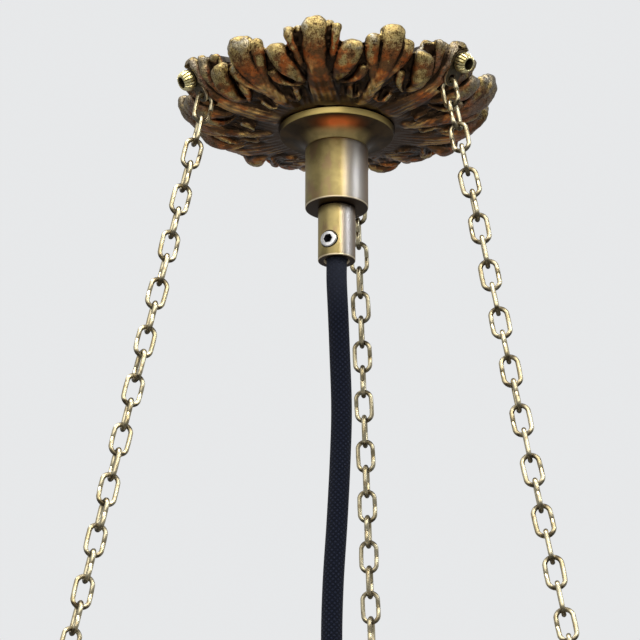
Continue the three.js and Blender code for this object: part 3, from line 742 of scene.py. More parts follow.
# %% Where each point of the canopy lies on its leaf
def leaf_places(points):
    """For each point: degrees from its leaf's middle, way along the leaf line, and distance out of it."""
    shares = np.linspace(0, 1.1, 221)
    line, slope = leaf_line(shares)
    radius, turn = polar(points)
    turn = np.degrees(turn)
    folded = (turn + from_front(turn)[1] - leaf_turns[0] + 30) % 60 - 30
    along, out = np.empty(len(points)), np.empty(len(points))
    points_at_once = 20000
    for start in range(0, len(points), points_at_once):
        part = slice(start, start + points_at_once)
        gap = np.stack([radius[part, None] - line[:, 0], points[part, 2, None] - line[:, 1]], axis=2)
        nearest = np.argmin((gap ** 2).sum(axis=2), axis=1)
        gap = gap[np.arange(len(nearest)), nearest]
        along[part] = shares[nearest]
        out[part] = gap[:, 0] * slope[nearest, 1] - gap[:, 1] * slope[nearest, 0]
    return folded, along, out


# %% Which roll each point lies on, how far up it, and how close to the crease beside it
def roll_facts(points):
    """For each point: its roll's share from root to tip, nearness of a crease, and the gap to any roll."""
    rows = [(*sample, roll) for roll, samples in enumerate(roll_samples) for sample in samples]
    tree = KDTree(len(rows))
    for i, row in enumerate(rows):
        tree.insert(row[0], i)
    tree.balance()
    share, crease, gap = (np.empty(len(points)) for _ in range(3))
    near_samples, crease_width, far = 14, 0.17, 9
    for k, point in enumerate(points):
        best = {}
        for _, i, distance in tree.find_n(Vector(point), near_samples):
            _, done, half, roll = rows[i]
            measure = distance / (half + 1)
            if measure < best.get(roll, (far, 0))[0]:
                best[roll] = (measure, done)
        ranked = sorted(best.values())
        second = ranked[1][0] if len(ranked) > 1 else far
        gap[k], share[k] = ranked[0]
        crease[k] = math.exp(-((second - gap[k]) / crease_width) ** 2)
    return share, crease, gap


# %% Cut the creases, press the hollows between the stems, and roughen the surface as sand casting does
rib_pitch = 2.1
rib_height = 0.24


def hollow(folded, along, turn, turn_size, way, way_size):
    """1 in the middle of a soft hollow, which lies on both sides of each leaf, and 0 away from it."""
    return np.exp(-((np.abs(folded) - turn) / turn_size) ** 2 - ((along - way) / way_size) ** 2)


def cloudy(points, size, fine_size, shift):
    """Cloudy noise around 0, with weaker fine clouds that are shifted against the large ones."""
    shift = Vector(shift)
    return np.array([clouds.noise(Vector(p) / size) + 0.6 * clouds.noise(Vector(p) / fine_size + shift)
                     for p in points])


def carve(piece):
    points = points_of(piece) / mm
    folded, along, out = leaf_places(points)
    share, crease, gap = roll_facts(points)
    radius, turn = polar(points)
    away = on_leaf(np.degrees(turn), along, 0)[2]
    outside, tip_part = ramp(out, -1.2, 0.8), ramp(along, 0.5, 0.3)

    # Creases between the rolls, hollows beside the stem and in the scroll, and ribs along the stem
    creases = crease * (0.3 + 0.5 * tip_part) * ramp(share, 0.05, 0.2) * ramp(gap, 1.15, -0.3)
    beside_stem = hollow(folded, along, 12.5, 2.6, 0.25, 0.07)
    in_scroll = hollow(folded, along, 21.0, 2.2, 0.29, 0.06)
    rib = 1 - np.abs(np.sin(math.pi * (np.radians(folded) * radius) / rib_pitch))
    ribs = rib_height * rib * ramp(along, 0.02, 0.1) * ramp(along, 0.70, -0.25)
    lower = (1.7 * beside_stem + 1.3 * in_scroll + creases - ribs) * outside

    # Dents and a grain that grow towards the tips
    dents = cloudy(points, 6, 3.0, (3, 8, 1))
    grain = cloudy(points, 1.7, 0.9, (9, 4, 7))
    rough = grain * (0.03 + 0.15 * tip_part) + dents * (0.22 + 0.38 * tip_part) * outside
    return set_points(piece, (points - away * lower[:, None] + normals_of(piece) * rough[:, None]) * mm)


carve(canopy)


# %% Make room behind each hanger's tab and around each chain's first link
hanger_radius, hanger_height, hanger_lean = 53.4, -8.0, 31
chain_top_radius, chain_top_height, chain_lean = 48.619, -14.365, 12.2


def leaning_axes(side, radius, height, lean):
    """Axes at a radius and a height on one of the three sides, turned about their Y axis."""
    place = Matrix.Translation(Vector((radius, 0, height)) * mm)
    return about_z(sides[side]) @ place @ Matrix.Rotation(math.radians(lean), 4, "Y")


def hanger_axes(side):
    """X runs down the hanger's tab, Z runs out along its screw."""
    return leaning_axes(side, hanger_radius, hanger_height, 90 + hanger_lean)


def chain_axes(side):
    """The chain hangs down from the origin of these axes, and X points outwards."""
    return leaning_axes(side, chain_top_radius, chain_top_height, -chain_lean)


def seat_for_hanger(piece, side):
    """Flattens the leaf behind the tab and the knob."""
    axes = hanger_axes(side)
    into = np.array(axes.inverted())
    points = points_of(piece)
    local = points @ into[:3, :3].T + into[:3, 3]
    x, y, z = local.T / mm
    seat_depth, seat_end = -0.85, 12
    seat_half, seat_left, seat_right, knob_room = 3.7, -4.6, 10, 4.7
    beside_tab = (np.abs(y) < seat_half) & (x > seat_left) & (x < seat_right)
    beside_knob = np.hypot(x, y) < knob_room
    over = (beside_tab | beside_knob) & (z > seat_depth) & (z < seat_end)
    local[over, 2] = seat_depth * mm
    back = np.array(axes)
    return set_points(piece, local @ back[:3, :3].T + back[:3, 3])


slot_low, slot_high, slot_edge = (-4.4, -1.6, -9.0), (3.6, 1.6, 2.4), 0.8
screw_clearance = 2.25
for side in sides:
    slot = soft_edges(box(slot_low, slot_high), slot_edge, 3)
    cut(canopy, moved(slot, chain_axes(side)))
    cut(canopy, moved(rod(screw_clearance, -9.5, 5, 32), hanger_axes(side)))
    seat_for_hanger(canopy, side)
smooth(canopy, 70)
print("canopy faces:", len(canopy.data.polygons))


# %% Facts about each point, for the material to read
def remember(piece, name, values):
    piece.data.attributes.new(name, "FLOAT", "POINT").data.foreach_set("value", values)


def remember_relief(piece, rounds, reach):
    """Stores how far each point stands out of its surroundings: 0.5 is level, 1 a ridge, 0 a groove."""
    mesh = piece.data
    count = len(mesh.vertices)
    points = points_of(piece)
    edges = np.empty(len(mesh.edges) * 2, dtype=int)
    mesh.edges.foreach_get("vertices", edges)
    a, b = edges.reshape(-1, 2).T
    degree = np.bincount(a, minlength=count) + np.bincount(b, minlength=count)
    calm = points.copy()
    for _ in range(rounds):
        calm = np.stack([np.bincount(a, calm[b, k], count) + np.bincount(b, calm[a, k], count)
                         for k in range(3)], axis=1) / degree[:, None]
    out = ((points - calm) * normals_of(piece)).sum(axis=1)
    remember(piece, "relief", np.clip(0.5 + out / (2 * reach * mm), 0, 1))


relief_rounds, relief_reach = 45, 0.9
remember_relief(canopy, relief_rounds, relief_reach)
canopy_points = points_of(canopy) / mm
folded, along, out = leaf_places(canopy_points)
share, crease, gap = roll_facts(canopy_points)
outside = ramp(out, -2.2, 1.0)
remember(canopy, "share", share * outside)
remember(canopy, "crease", np.maximum(crease, ramp(gap, 0.95, 0.25)) * outside)
remember(canopy, "across", np.radians(folded) * polar(canopy_points)[0])
remember(canopy, "along", along)

# %% [markdown]
# ## Aged cast brass
# The tips are speckled gold, partly from handling and partly a painted highlight from above, the grooves and
# creases are darker, and a copper-red bloom lies between them. The brown darkens towards the flange as
# painted shade. The point facts steer this. The share of the way up a roll places the gold and the bloom, and
# the relief keeps both out of the grooves. The way along and across a leaf draws the stems' fine ridges,
# which carry painted copper-to-gold highlight streaks in patches; the highest ridges carry painted highlight
# too. The crease places the darkening of the creases. Painted pale glints lie on a few tips, and a painted
# grey reflection on the leaves at the left and right.

# %% Cast brass material
def cast_brass():
    material, place = new_material("aged_cast_brass")
    names = ("relief", "along", "across", "share", "crease")
    relief, along, across, share, crease = (attribute(place, name) for name in names)
    speck = noise(place, 0.42 * mm, 4, 0.7)
    grain = noise(place, 1.5 * mm, 3, 0.6)
    cloud = noise(place, 8 * mm, 2)
    patch = noise(place, 4.5 * mm, 2)
    high = relief + (grain - 0.5) * 0.16
    veins = (across + rib_pitch * 0.25 + (cloud - 0.5) * 1.2).waves(rib_pitch)
    upper = along.between(0.40, 0.70)

    # Brown metal, darker towards the flange as painted shade, and darker still in the grooves
    groove_dark = mix((0.020, 0.011, 0.006), (0.048, 0.026, 0.012), grain)
    # Painted shade: the brown darkens towards the flange, where less light reaches the leaves.
    far_out = (along + (cloud - 0.5) * 0.8).between(0.1, 0.75)
    brown = mix((0.080, 0.043, 0.020), (0.21, 0.100, 0.038), far_out)
    body = mix(groove_dark, brown, high.between(0.30, 0.52))

    # Copper-red bloom under the tips
    blotch = (patch + (grain - 0.5) * 0.7).between(0.36, 0.66)
    bloom_zone = share.between(0.20, 0.55) * share.between(0.96, 0.70) * along.between(0.20, 0.50)
    bloom = bloom_zone * high.between(0.38, 0.60) * blotch
    red = mix(body, (0.50, 0.125, 0.026), bloom * 0.85)

    # Painted copper-to-gold highlight streaks on the ridges along the stems
    on_stem = along.between(0.72, 0.50) * along.between(0.06, 0.22)
    lined = on_stem * (cloud * 0.6 + patch * 0.4).between(0.40, 0.58)
    lines = veins.between(0.72, 1.0) * high.between(0.42, 0.58) * lined
    ridge = larger(lines, high.between(0.56, 0.78) * along.between(0.72, 0.55))
    painted_streak = mix((0.70, 0.24, 0.055), (0.80, 0.50, 0.18), cloud.between(0.42, 0.58))
    red = mix(red, painted_streak, ridge * (patch + cloud - 0.5).between(0.36, 0.66) * 0.75)

    # Speckled gold on the tips, partly wear from handling and partly painted highlight from above, and
    # painted highlight on the highest ridges, with dark pits in it
    lit_speck = (speck * 0.7 + grain * 0.3).between(0.40, 0.60)
    gold = mix((0.19, 0.120, 0.040), (0.60, 0.465, 0.190), lit_speck)
    tips = share.between(0.62, 1.0) * along.between(0.40, 0.72) * high.between(0.28, 0.50)
    ridge_highlight = high.between(0.74, 0.95) * 0.8 * cloud.between(0.34, 0.56)
    worn_and_lit = larger(tips, ridge_highlight) + (speck - 0.5) * 1.4 + (grain - 0.5) * 0.8 + (patch - 0.5) * 0.4
    worn_and_lit = worn_and_lit.between(0.34, 0.86)
    pits = (speck * 0.6 + grain * 0.4).between(0.470, 0.42) * upper
    gilt = mix(mix(red, gold, worn_and_lit), (0.052, 0.027, 0.012), pits * 0.85)

    # Painted pale glints on some tips, a painted grey reflection on the leaves at the left and right, and
    # darker creases
    glint_cloud = (cloud * 0.5 + patch * 0.5).between(0.52, 0.60)
    # Painted highlight: pale glints on some of the tips.
    pale = share.between(0.80, 1.0) * glint_cloud * high.between(0.45, 0.7)
    painted_light = mix(gilt, (0.52, 0.54, 0.52), pale * speck.between(0.40, 0.55) * 0.75)
    # Painted reflection: grey on the leaves at the left and right.
    x = split(place)[0]
    at_sides = x.math("ABSOLUTE", x).between(33 * mm, 46 * mm)
    side_reflection_patch = share.between(0.30, 0.65) * high.between(0.30, 0.55) * patch.between(0.36, 0.52)
    dull = mix((0.085, 0.062, 0.045), (0.30, 0.265, 0.215), speck.between(0.38, 0.60))
    painted_light = mix(painted_light, dull, at_sides * side_reflection_patch * upper * 0.75)
    # Darker in the creases near the tips.
    crease_dark = (crease + (grain - 0.5) * 0.3).between(0.55, 1.0) * upper
    colour = mix(painted_light, (0.016, 0.010, 0.006), crease_dark * 0.9)

    height = grain * 0.6 * along.between(0.35, 0.8) + speck * (upper * 0.5 + 0.1) + veins * lined * 0.5
    rough = 0.24 + upper * 0.16 + grain * 0.10 - worn_and_lit * 0.03
    return shader(material, base_color=colour, metallic=0.88, roughness=rough,
                  normal=bump(height, 0.35 * mm, 0.7))


aged_brass = cast_brass()
finish(canopy, "leaf_canopy", "root", "cast_brass", aged_brass, "canopy")

# %% [markdown]
# ## Column: flange, collar, cord grip, tube and nut
# Under the canopy hangs a stack of pieces from the lathe: a flange with a hollow cove, a wide collar and a
# narrow grip that holds the cord. A threaded tube and a nut clamp them together. Each is one outline of radii
# and heights, spun about the axis, with small rounded edges, since an edge without any catches no light.

# %% Turned pieces of the column
bore, cord_bore, tube_hole = 3.95, 3.9, 5.3
rim_radius, flange_top, flange_bottom = 20.5, -19.2, -26.3
collar_radius, collar_inner, collar_top, collar_low, collar_floor = 11, 9.4, -26.6, -49.0, -46.0
grip_radius, grip_top, grip_floor = 6.5, -49.3, -57.6
tube_low, tube_high = -57.3, -11.6
rim_corner, cove_pull, neck_corner = (
    Vector(corner) for corner in ((20.0, -21.25), (12.6, -22.2), (10.6, -26.3)))


def cove(steps=14):
    """The hollow curve from the flange's rim to its neck."""
    return [tuple(rim_corner * (1 - t) ** 2 + cove_pull * 2 * t * (1 - t) + neck_corner * t ** 2)
            for t in (i / steps for i in range(1, steps))]


def threaded(radius, low, high, pitch=1.0, depth=0.35):
    """Corners of a fine thread up a bar, between two heights."""
    turns = int((high - low) / pitch)
    rows = []
    for i in range(turns):
        rows += [(radius - depth, low + i * pitch, 0), (radius, low + (i + 0.5) * pitch, 0)]
    return rows


flange = turned([(tube_hole, flange_top), (rim_radius, flange_top, 0.15), (*rim_corner, 0.2), *cove(),
                 (*neck_corner, 0.15), (tube_hole, flange_bottom)], 128)
collar = turned([(collar_inner, collar_top), (collar_radius, collar_top, 0.25),
                 (collar_radius, collar_low, 0.5), (tube_hole, collar_low), (tube_hole, collar_floor),
                 (collar_inner, collar_floor)], 128)
grip = turned([(tube_hole, grip_top), (grip_radius, grip_top, 0.2), (grip_radius, grip_low, 0.45),
               (4.6, grip_low, 0.15), (cord_bore, grip_low + 0.7), (cord_bore, grip_floor),
               (tube_hole, grip_floor)], 128)
threaded_tube = turned([(bore, tube_low), *threaded(5.0, tube_low, tube_high - 0.3), (4.6, tube_high, 0.1),
                        (bore, tube_high)], 48)
nut_width = 14
nut = combine(rod(nut_width / math.sqrt(3), -15.4, -12.4, facets=6), rod(tube_hole, -17, -11))
soft_edges(nut, 0.35, 3)
print("column faces:", [len(piece.data.polygons) for piece in (flange, collar, grip, threaded_tube, nut)])

# %% Set screw: a steel rod with a hexagon socket, in a hole through the grip's wall
set_screw_height, set_screw_turn = -62.5, -107.5
set_screw_radius, set_screw_gap, socket_radius = 2.95, 0.3, 1.7
set_screw_axes = Matrix.Translation((0, 0, set_screw_height * mm)) @ about_z(set_screw_turn)
cut(grip, moved(rod(set_screw_radius + set_screw_gap, 0, 9, axis="X"), set_screw_axes))
smooth(grip, 30)
set_screw = soft_edges(rod(set_screw_radius, 3.85, 7.0, axis="X"), 0.4, 3)
combine(set_screw, rod(socket_radius, 4.05, 8, facets=6, axis="X"))
x, y, z = (points_of(set_screw) / mm).T
in_socket = np.hypot(y, z) < socket_radius + 0.05
# Painted shade: the socket is marked darker the deeper it goes.
remember(set_screw, "socket", in_socket * (0.35 + 0.65 * ramp(x, 6.9, -0.5)))
smooth(moved(set_screw, set_screw_axes), 30)

# %% [markdown]
# ## Satin brass
# Turned brass keeps faint rings from the lathe. It was polished long ago and went dull unevenly: olive and
# pinkish-brown clouds lie on it. A pale painted reflection streak runs down one side and painted shade
# darkens another, the low edge carries a painted highlight and the underside painted shade, and the seams are
# darker.
# The flange's cove is nearly black-brown as painted shade, with a painted copper-red reflection spot in
# front;
# the rim is a painted gold highlight, and rim and sides are painted darker away from the front. Radius,
# height and turn steer these.

# %% Turned brass materials
def lathe_rings(place):
    fine = noise(stretched(place, 0.03, 0.03, 1), 0.16 * mm, 2)
    broad = noise(stretched(place, 0.05, 0.05, 1), 0.9 * mm, 2)
    return fine * 0.6 + broad * 0.4


def radius_height_turn(place):
    x, y, z = split(place)
    radius = x.math("SQRT", x * x + y * y)
    return radius, z, x.math("ARCTAN2", y, x)


def facing(turn, degrees):
    """1 where a turned piece faces that turn, and lower the further it faces away."""
    return turn.math("COSINE", turn - math.radians(degrees))


def satin_brass(name, top, bottom):
    """Brass of a straight turned piece between two heights: darker at both seams, with a painted highlight
    and painted shade at the low edge, and a painted reflection streak and painted shade on two sides.
    """
    material, place = new_material(name)
    _, height, turn = radius_height_turn(place)
    rings = lathe_rings(place)
    cloud = noise(place, 7 * mm, 3)
    stain = noise(stretched(place, 1, 1, 0.5), 3.5 * mm, 3, 0.6)
    speck = noise(place, 0.5 * mm, 3, 0.7)
    base = mix((0.34, 0.27, 0.115), (0.50, 0.40, 0.17), cloud.between(0.35, 0.65))
    base = mix(base, (0.37, 0.24, 0.14), stain.between(0.50, 0.66) * 0.65)
    # Painted reflection: a pale streak on the side that faces turn -40 degrees.
    base = mix(base, (0.50, 0.47, 0.46), facing(turn, -40).between(0.80, 0.99) * 0.75)
    # Painted shade: a darker pinkish-brown on the side that faces turn 8 degrees.
    base = mix(base, (0.32, 0.22, 0.17), facing(turn, 8).between(0.75, 0.97) * 0.7)
    # Darker just under the top seam and, less, towards the low edge.
    seam = height.between((top - 1.6) * mm, (top - 0.1) * mm)
    low = height.between((bottom + 2.2) * mm, (bottom + 0.3) * mm)
    seam_darkened = mix(base, (0.16, 0.105, 0.05), (seam * 0.6 + low * 0.25) * (stain * 0.6 + 0.5))
    spots = mix(seam_darkened, (0.10, 0.065, 0.03), speck.between(0.66, 0.74) * 0.55)
    # Painted highlight: a bright band just above the low edge.
    edge = height.between((bottom + 0.8) * mm, (bottom + 0.4) * mm)
    colour = mix(spots, (0.95, 0.80, 0.56), edge * 0.8)
    scratch = noise(stretched(place, 1, 1, 6), 1.1 * mm, 2)
    colour = mix(colour, (0.70, 0.62, 0.44), scratch.between(0.73, 0.78) * 0.5)
    # Painted shade on the underside.
    under = height.between((bottom + 0.16) * mm, (bottom + 0.04) * mm)
    colour = mix(colour, (0.050, 0.028, 0.014), under)
    return shader(material, base_color=colour, metallic=0.95, roughness=cloud * 0.10 + rings * 0.10 + 0.29,
                  normal=bump(rings + speck * 0.25, 0.03 * mm, 0.6))


def flange_brass():
    material, place = new_material("tarnished_flange")
    radius, height, turn = radius_height_turn(place)
    outline_place = radius.node("ShaderNodeCombineXYZ", None, {0: radius, 1: height})
    rings = noise(outline_place, 0.35 * mm, 2)
    cloud = noise(place, 6 * mm, 3)
    speck = noise(place, 0.5 * mm, 3, 0.7)
    # Which way each point faces: painted light lies on the front, painted shade away from it.
    front = facing(turn, -79)

    # Gold of the rim and olive of the sides, both painted darker away from the lit front as painted shade;
    # the rim's gold is a painted highlight
    gold = mix((0.92, 0.68, 0.22), (1.0, 0.80, 0.32), cloud)
    gold = mix((0.070, 0.042, 0.018), gold, front.between(0.14, 1.0))
    olive = mix((0.46, 0.34, 0.14), (0.66, 0.50, 0.21), cloud.between(0.3, 0.6))
    olive = mix((0.065, 0.042, 0.020), olive, (front + (cloud - 0.5) * 0.4).between(0.22, 0.90))

    # Brown cove, dark as painted shade, with a painted copper-red reflection spot in front
    brown = mix((0.052, 0.033, 0.016), (0.105, 0.066, 0.030), cloud.between(0.35, 0.65))
    in_cove = (radius + (cloud - 0.5) * (2 * mm)).between(10.6 * mm, 14.8 * mm)
    middle = radius.between(11.0 * mm, 14.6 * mm) * radius.between(19.4 * mm, 14.6 * mm)
    reflection_spot = front.between(0.86, 1.0) * middle * (front.between(0.95, 1.0) * 0.5 + 0.6)
    near_reflection_spot = front.between(0.70, 0.98) * radius.between(19.8 * mm, 15.0 * mm)
    warm = mix(brown, (0.24, 0.070, 0.020), near_reflection_spot)
    red = mix(warm, (1.0, 0.27, 0.070), reflection_spot * (cloud * 0.6 + 0.85))
    on_rim = height.between(-21.34 * mm, -21.2 * mm) * radius.between(19.5 * mm, 19.85 * mm)
    colour = mix(mix(olive, red, in_cove), gold, on_rim)
    colour = mix(colour, (0.10, 0.065, 0.03), speck.between(0.64, 0.74) * 0.4)
    return shader(material, base_color=colour, metallic=0.95,
                  roughness=cloud * 0.12 + rings * 0.08 + 0.32 + in_cove * (1 - on_rim) * 0.14,
                  normal=bump(rings + speck * 0.3, 0.04 * mm, 0.6))


beyond = 1000
hidden_brass = satin_brass("yellow_brass", beyond, -beyond)
collar_brass = satin_brass("satin_brass_collar", collar_top, collar_low)
grip_brass = satin_brass("satin_brass_grip", grip_top, grip_low)
finish(flange, "turned_flange", "root", "turned_brass", flange_brass(), "flange")
finish(collar, "turned_collar", "root", "turned_brass", collar_brass, "collar")
finish(grip, "turned_grip", "root", "turned_brass", grip_brass, "cord_grip")
finish(threaded_tube, "tube_with_thread", "root", "turned_brass", hidden_brass, "threaded_tube")
finish(nut, "hexagon_nut", "root", "turned_brass", hidden_brass, "canopy_nut")


# %% Steel of the set screw, brushed and a little dull
def brushed_steel(name, light, dark, streak=0.4):
    material, place = new_material(name)
    grain = noise(stretched(place, 1, 1, 0.2), streak * mm, 3, 0.6)
    cloud = noise(place, 3 * mm, 2)
    colour = mix(dark, light, (grain * 0.5 + cloud * 0.5).between(0.35, 0.62))
    # Painted shade inside the hexagon socket, from the socket fact.
    colour = mix(colour, (0.03, 0.03, 0.035), attribute(place, "socket"))
    return shader(material, base_color=colour, metallic=1.0, roughness=grain * 0.14 + 0.18,
                  normal=bump(grain, 0.02 * mm, 0.5))


steel = brushed_steel("stainless_steel", (0.93, 0.93, 0.94), (0.74, 0.74, 0.77))
finish(set_screw, "hexagon_set_screw", "set_screw", "stainless_steel", steel, "set_screw")

# %% [markdown]
# ## Hangers
# A flat tab of brass lies against the leaf behind each chain. A screw with a fluted, hollow head holds its
# upper end, and the chain's first link passes through the eye at its lower end. The head is a turned cup; its
# flutes are pressed in around it. The tab's broad faces carry painted shade, and its edges keep the bright
# brass.

# %% Tabs and fluted screws, modelled once in the hanger's own axes
def round_upright_edges(piece, radius, segments=10):
    """Bevels the edges that stand upright, so that a box gets round ends."""
    only(piece)
    bpy.ops.object.mode_set(mode="EDIT")
    bpy.ops.mesh.select_mode(type="EDGE")
    bpy.ops.mesh.select_all(action="DESELECT")
    bpy.ops.object.mode_set(mode="OBJECT")
    for edge in piece.data.edges:
        a, b = (piece.data.vertices[i].co for i in edge.vertices)
        edge.select = abs(a.z - b.z) > 0.9 * (a - b).length
    bpy.ops.object.mode_set(mode="EDIT")
    bpy.ops.mesh.bevel(offset=radius * mm, segments=segments)
    bpy.ops.object.mode_set(mode="OBJECT")
    return piece


tab_low, tab_high, tab_corner = (-3.8, -3.2, -0.5), (9.25, 3.2, 0.5), 3.18
eye_hole, eye_place = 1.55, (6.6, 0)
tab = round_upright_edges(box(tab_low, tab_high), tab_corner)
combine(tab, rod(screw_clearance, -2, 2, 32))
combine(tab, rod(eye_hole, -2, 2, 32, at=eye_place))
soft_edges(tab, 0.16)

flute_count, flute_depth = 18, 0.42
screw_radius, screw_low, recess_radius = 1.95, -9, 2.0
knob_radius, knob_low, shoulder, knob_high = 3.6, 0.8, 3.4, 5.2
screw = turned([(0, screw_low), (screw_radius, screw_low, 0.3), (screw_radius, knob_low, 0.1),
                (2.9, knob_low, 0.2), (knob_radius, 1.5, 0.5), (knob_radius, shoulder, 0.8), (3.0, 4.7, 0.7),
                (2.4, knob_high, 0.3), (1.95, knob_high - 0.15, 0.2), (1.75, 1.8, 0.1), (0, 1.7)],
               flute_count * 8)
screw_points = points_of(screw) / mm
radius, turn = polar(screw_points)
rise = ramp(screw_points[:, 2], 1.0, 0.4) * ramp(radius, 2.1, 0.5)
groove = np.clip(np.cos(flute_count * turn) * 1.5 - 0.5, 0, 1)
in_recess = (radius < recess_radius) & (screw_points[:, 2] > 1)
shrink = flute_depth * groove * rise
screw_points[:, :2] *= (1 - shrink / np.maximum(radius, 1))[:, None]
set_points(screw, screw_points * mm)
remember(screw, "flute", np.maximum(shrink / flute_depth, in_recess * 0.8))
smooth(screw, 50)
print("tab faces:", len(tab.data.polygons), "screw faces:", len(screw.data.polygons))

# %% [markdown]
# ## Chains
# Each link is bent from round wire of 1.6 mm to an oval, and its ends meet in a small slit on one long side.
# A ring is pulled apart along its length for that, and the slit is cut by bisecting the wire and pinching it.
# Each link turns a quarter against the last, and hangs a little askew, as chain does. The right chain hangs
# twisted by 34 degrees about its own line, and the twist is gone at both of its ends.

# %% One link, and a chain of 34
link_wire = 0.81
link_bend = 2.78
link_stretch = 2.55
link_pitch = 9.08
link_count = 34
slit_pinch = 0.72
full_twist = {"right": 34}


def chain_link():
    bpy.ops.mesh.primitive_torus_add(major_segments=28, minor_segments=10, major_radius=link_bend * mm,
                                     minor_radius=link_wire * mm, rotation=(math.pi / 2, 0, 0))
    link = settle(bpy.context.object)
    points = points_of(link)
    points[:, 2] += np.sign(np.round(points[:, 2], 6)) * link_stretch * mm
    set_points(link, points)
    only(link)
    bpy.ops.object.mode_set(mode="EDIT")
    for height in (-0.16, -0.05, 0.05, 0.16):
        bpy.ops.mesh.select_all(action="SELECT")
        bpy.ops.mesh.bisect(plane_co=(0, 0, height * mm), plane_no=(0, 0, 1))
    bpy.ops.object.mode_set(mode="OBJECT")
    points = points_of(link) / mm
    slit = (np.abs(points[:, 2]) < 0.1) & (points[:, 0] > 0)
    points[slit, 0] = link_bend + (points[slit, 0] - link_bend) * slit_pinch
    points[slit, 1] *= slit_pinch
    set_points(link, points * mm)
    # Painted shade: the link's ends, where the next links bear on it, and its slit are marked dark.
    ends = ramp(np.abs(points[:, 2]), 3.2, 1.6)
    remember(link, "link_shade", np.where(slit, 1.0, ends * 0.75))
    return smooth(tidy_mesh(link), 60)


def chain_of(link, side):
    chance = random.Random(side)
    links = []
    for i in range(link_count):
        twist = full_twist.get(side, 0) * min(i / 3, (link_count - 1 - i) / 3, 1)
        quarter = about_z(90 * (i % 2) + twist + chance.uniform(-5, 5))
        askew = Matrix.Rotation(math.radians(chance.uniform(-1.6, 1.6)), 4, "Y")
        flip = about_z(180 * chance.randint(0, 1))
        place = Matrix.Translation((0, 0, -(i + 0.5) * link_pitch * mm))
        links.append(copy_of(link, place @ quarter @ askew @ flip))
    return moved(joined(links), chain_axes(side))


# %% Pale brass of the chains and hangers
def remember_flat_faces(piece):
    """1 on the tab's broad faces, 0 on its narrow edges."""
    flat = np.zeros(len(piece.data.vertices))
    for face in piece.data.polygons:
        if abs(face.normal.z) > 0.9:
            flat[list(face.vertices)] = 1
    # Painted shade on the broad faces; the narrow edges keep the bright brass.
    remember(piece, "face", flat * 0.85)


remember_flat_faces(tab)


def pale_brass(name, fact, dull=(0.52, 0.43, 0.25), bright=(0.82, 0.73, 0.50)):
    """Bright, handled brass; a fact of the mesh says where it is darkened: the knobs' flutes and recess, and,
    as painted shade, the chain links' ends and the tabs' broad faces.
    """
    material, place = new_material(name)
    dark_place = attribute(place, fact)
    cloud = noise(place, 5 * mm, 3)
    stain = noise(place, 1.8 * mm, 2)
    speck = noise(place, 0.4 * mm, 3, 0.7)
    base = mix(dull, bright, cloud.between(0.3, 0.6))
    tarnish = mix(base, (0.34, 0.24, 0.12), stain.between(0.56, 0.70) * 0.6)
    dark = (dark_place + (stain - 0.5) * 0.5).between(0.30, 0.85)
    colour = mix(tarnish, (0.030, 0.020, 0.011), dark * 0.92)
    return shader(material, base_color=colour, metallic=0.95, roughness=cloud * 0.10 + dark * 0.2 + 0.24,
                  normal=bump(stain * 0.7 + speck * 0.3, 0.03 * mm, 0.4))


wire_brass = pale_brass("pale_wire_brass", "link_shade")
knob_brass = pale_brass("pale_knob_brass", "flute", (0.66, 0.55, 0.25), (0.94, 0.84, 0.46))
tab_brass = pale_brass("strip_brass", "face", (0.80, 0.66, 0.40), (0.98, 0.86, 0.60))
link = chain_link()
for side in sides:
    tab_copy, screw_copy = (copy_of(pattern, hanger_axes(side)) for pattern in (tab, screw))
    screw_node, chain_node = "hanger_screw_" + side, "chain_" + side
    finish(tab_copy, "hanger_tab_of_" + side, "root", "chain_brass", tab_brass, "hanger_tab_" + side)
    finish(screw_copy, "fluted_screw_" + side, screw_node, "chain_brass", knob_brass, screw_node)
    chain = chain_of(link, side)
    finish(chain, "chain_of_links_" + side, chain_node, "chain_brass", wire_brass, chain_node)
for pattern in (tab, screw, link):
    bpy.data.objects.remove(pattern)
print("chain faces:", len(chain.data.polygons))

# %% [markdown]
# ## Ceiling bracket and terminals
# Above the canopy, out of sight from below, a pressed plate with three arms holds the hanger screws, and a
# plastic block joins the cord's three cores to the mains. The plate is a disc with arms and leaning ears,
# joined and then drilled. Its zinc is painted nearly black, as painted shade under the ceiling.

# %% Bracket: disc, arms and ears, joined and drilled
def ceiling_bracket():
    thickness, arm_half = 2, 4.5
    plate = rod(25, -thickness, 0, 96)
    for side, turn in sides.items():
        arm = box((0, -arm_half, -thickness), (48.6, arm_half, 0))
        add(plate, moved(arm, about_z(turn)))
        ear = box((-3.6, -arm_half, -8.4), (4.5, arm_half, -6.4))
        add(plate, moved(ear, hanger_axes(side)))
    above_ceiling = box((-60, -60, 0), (60, 60, 20))
    cut(plate, above_ceiling)
    for side in sides:
        cut(plate, moved(rod(screw_clearance, -11, 0, 32), hanger_axes(side)))
    for x in (-17, 17):
        cut(plate, rod(2.3, -3, 1, 32, at=(x, 0)))
    mains_hole = rod(5, -3, 1, 48, at=(0, 16))
    cut(plate, mains_hole)
    return soft_edges(plate, 0.25)


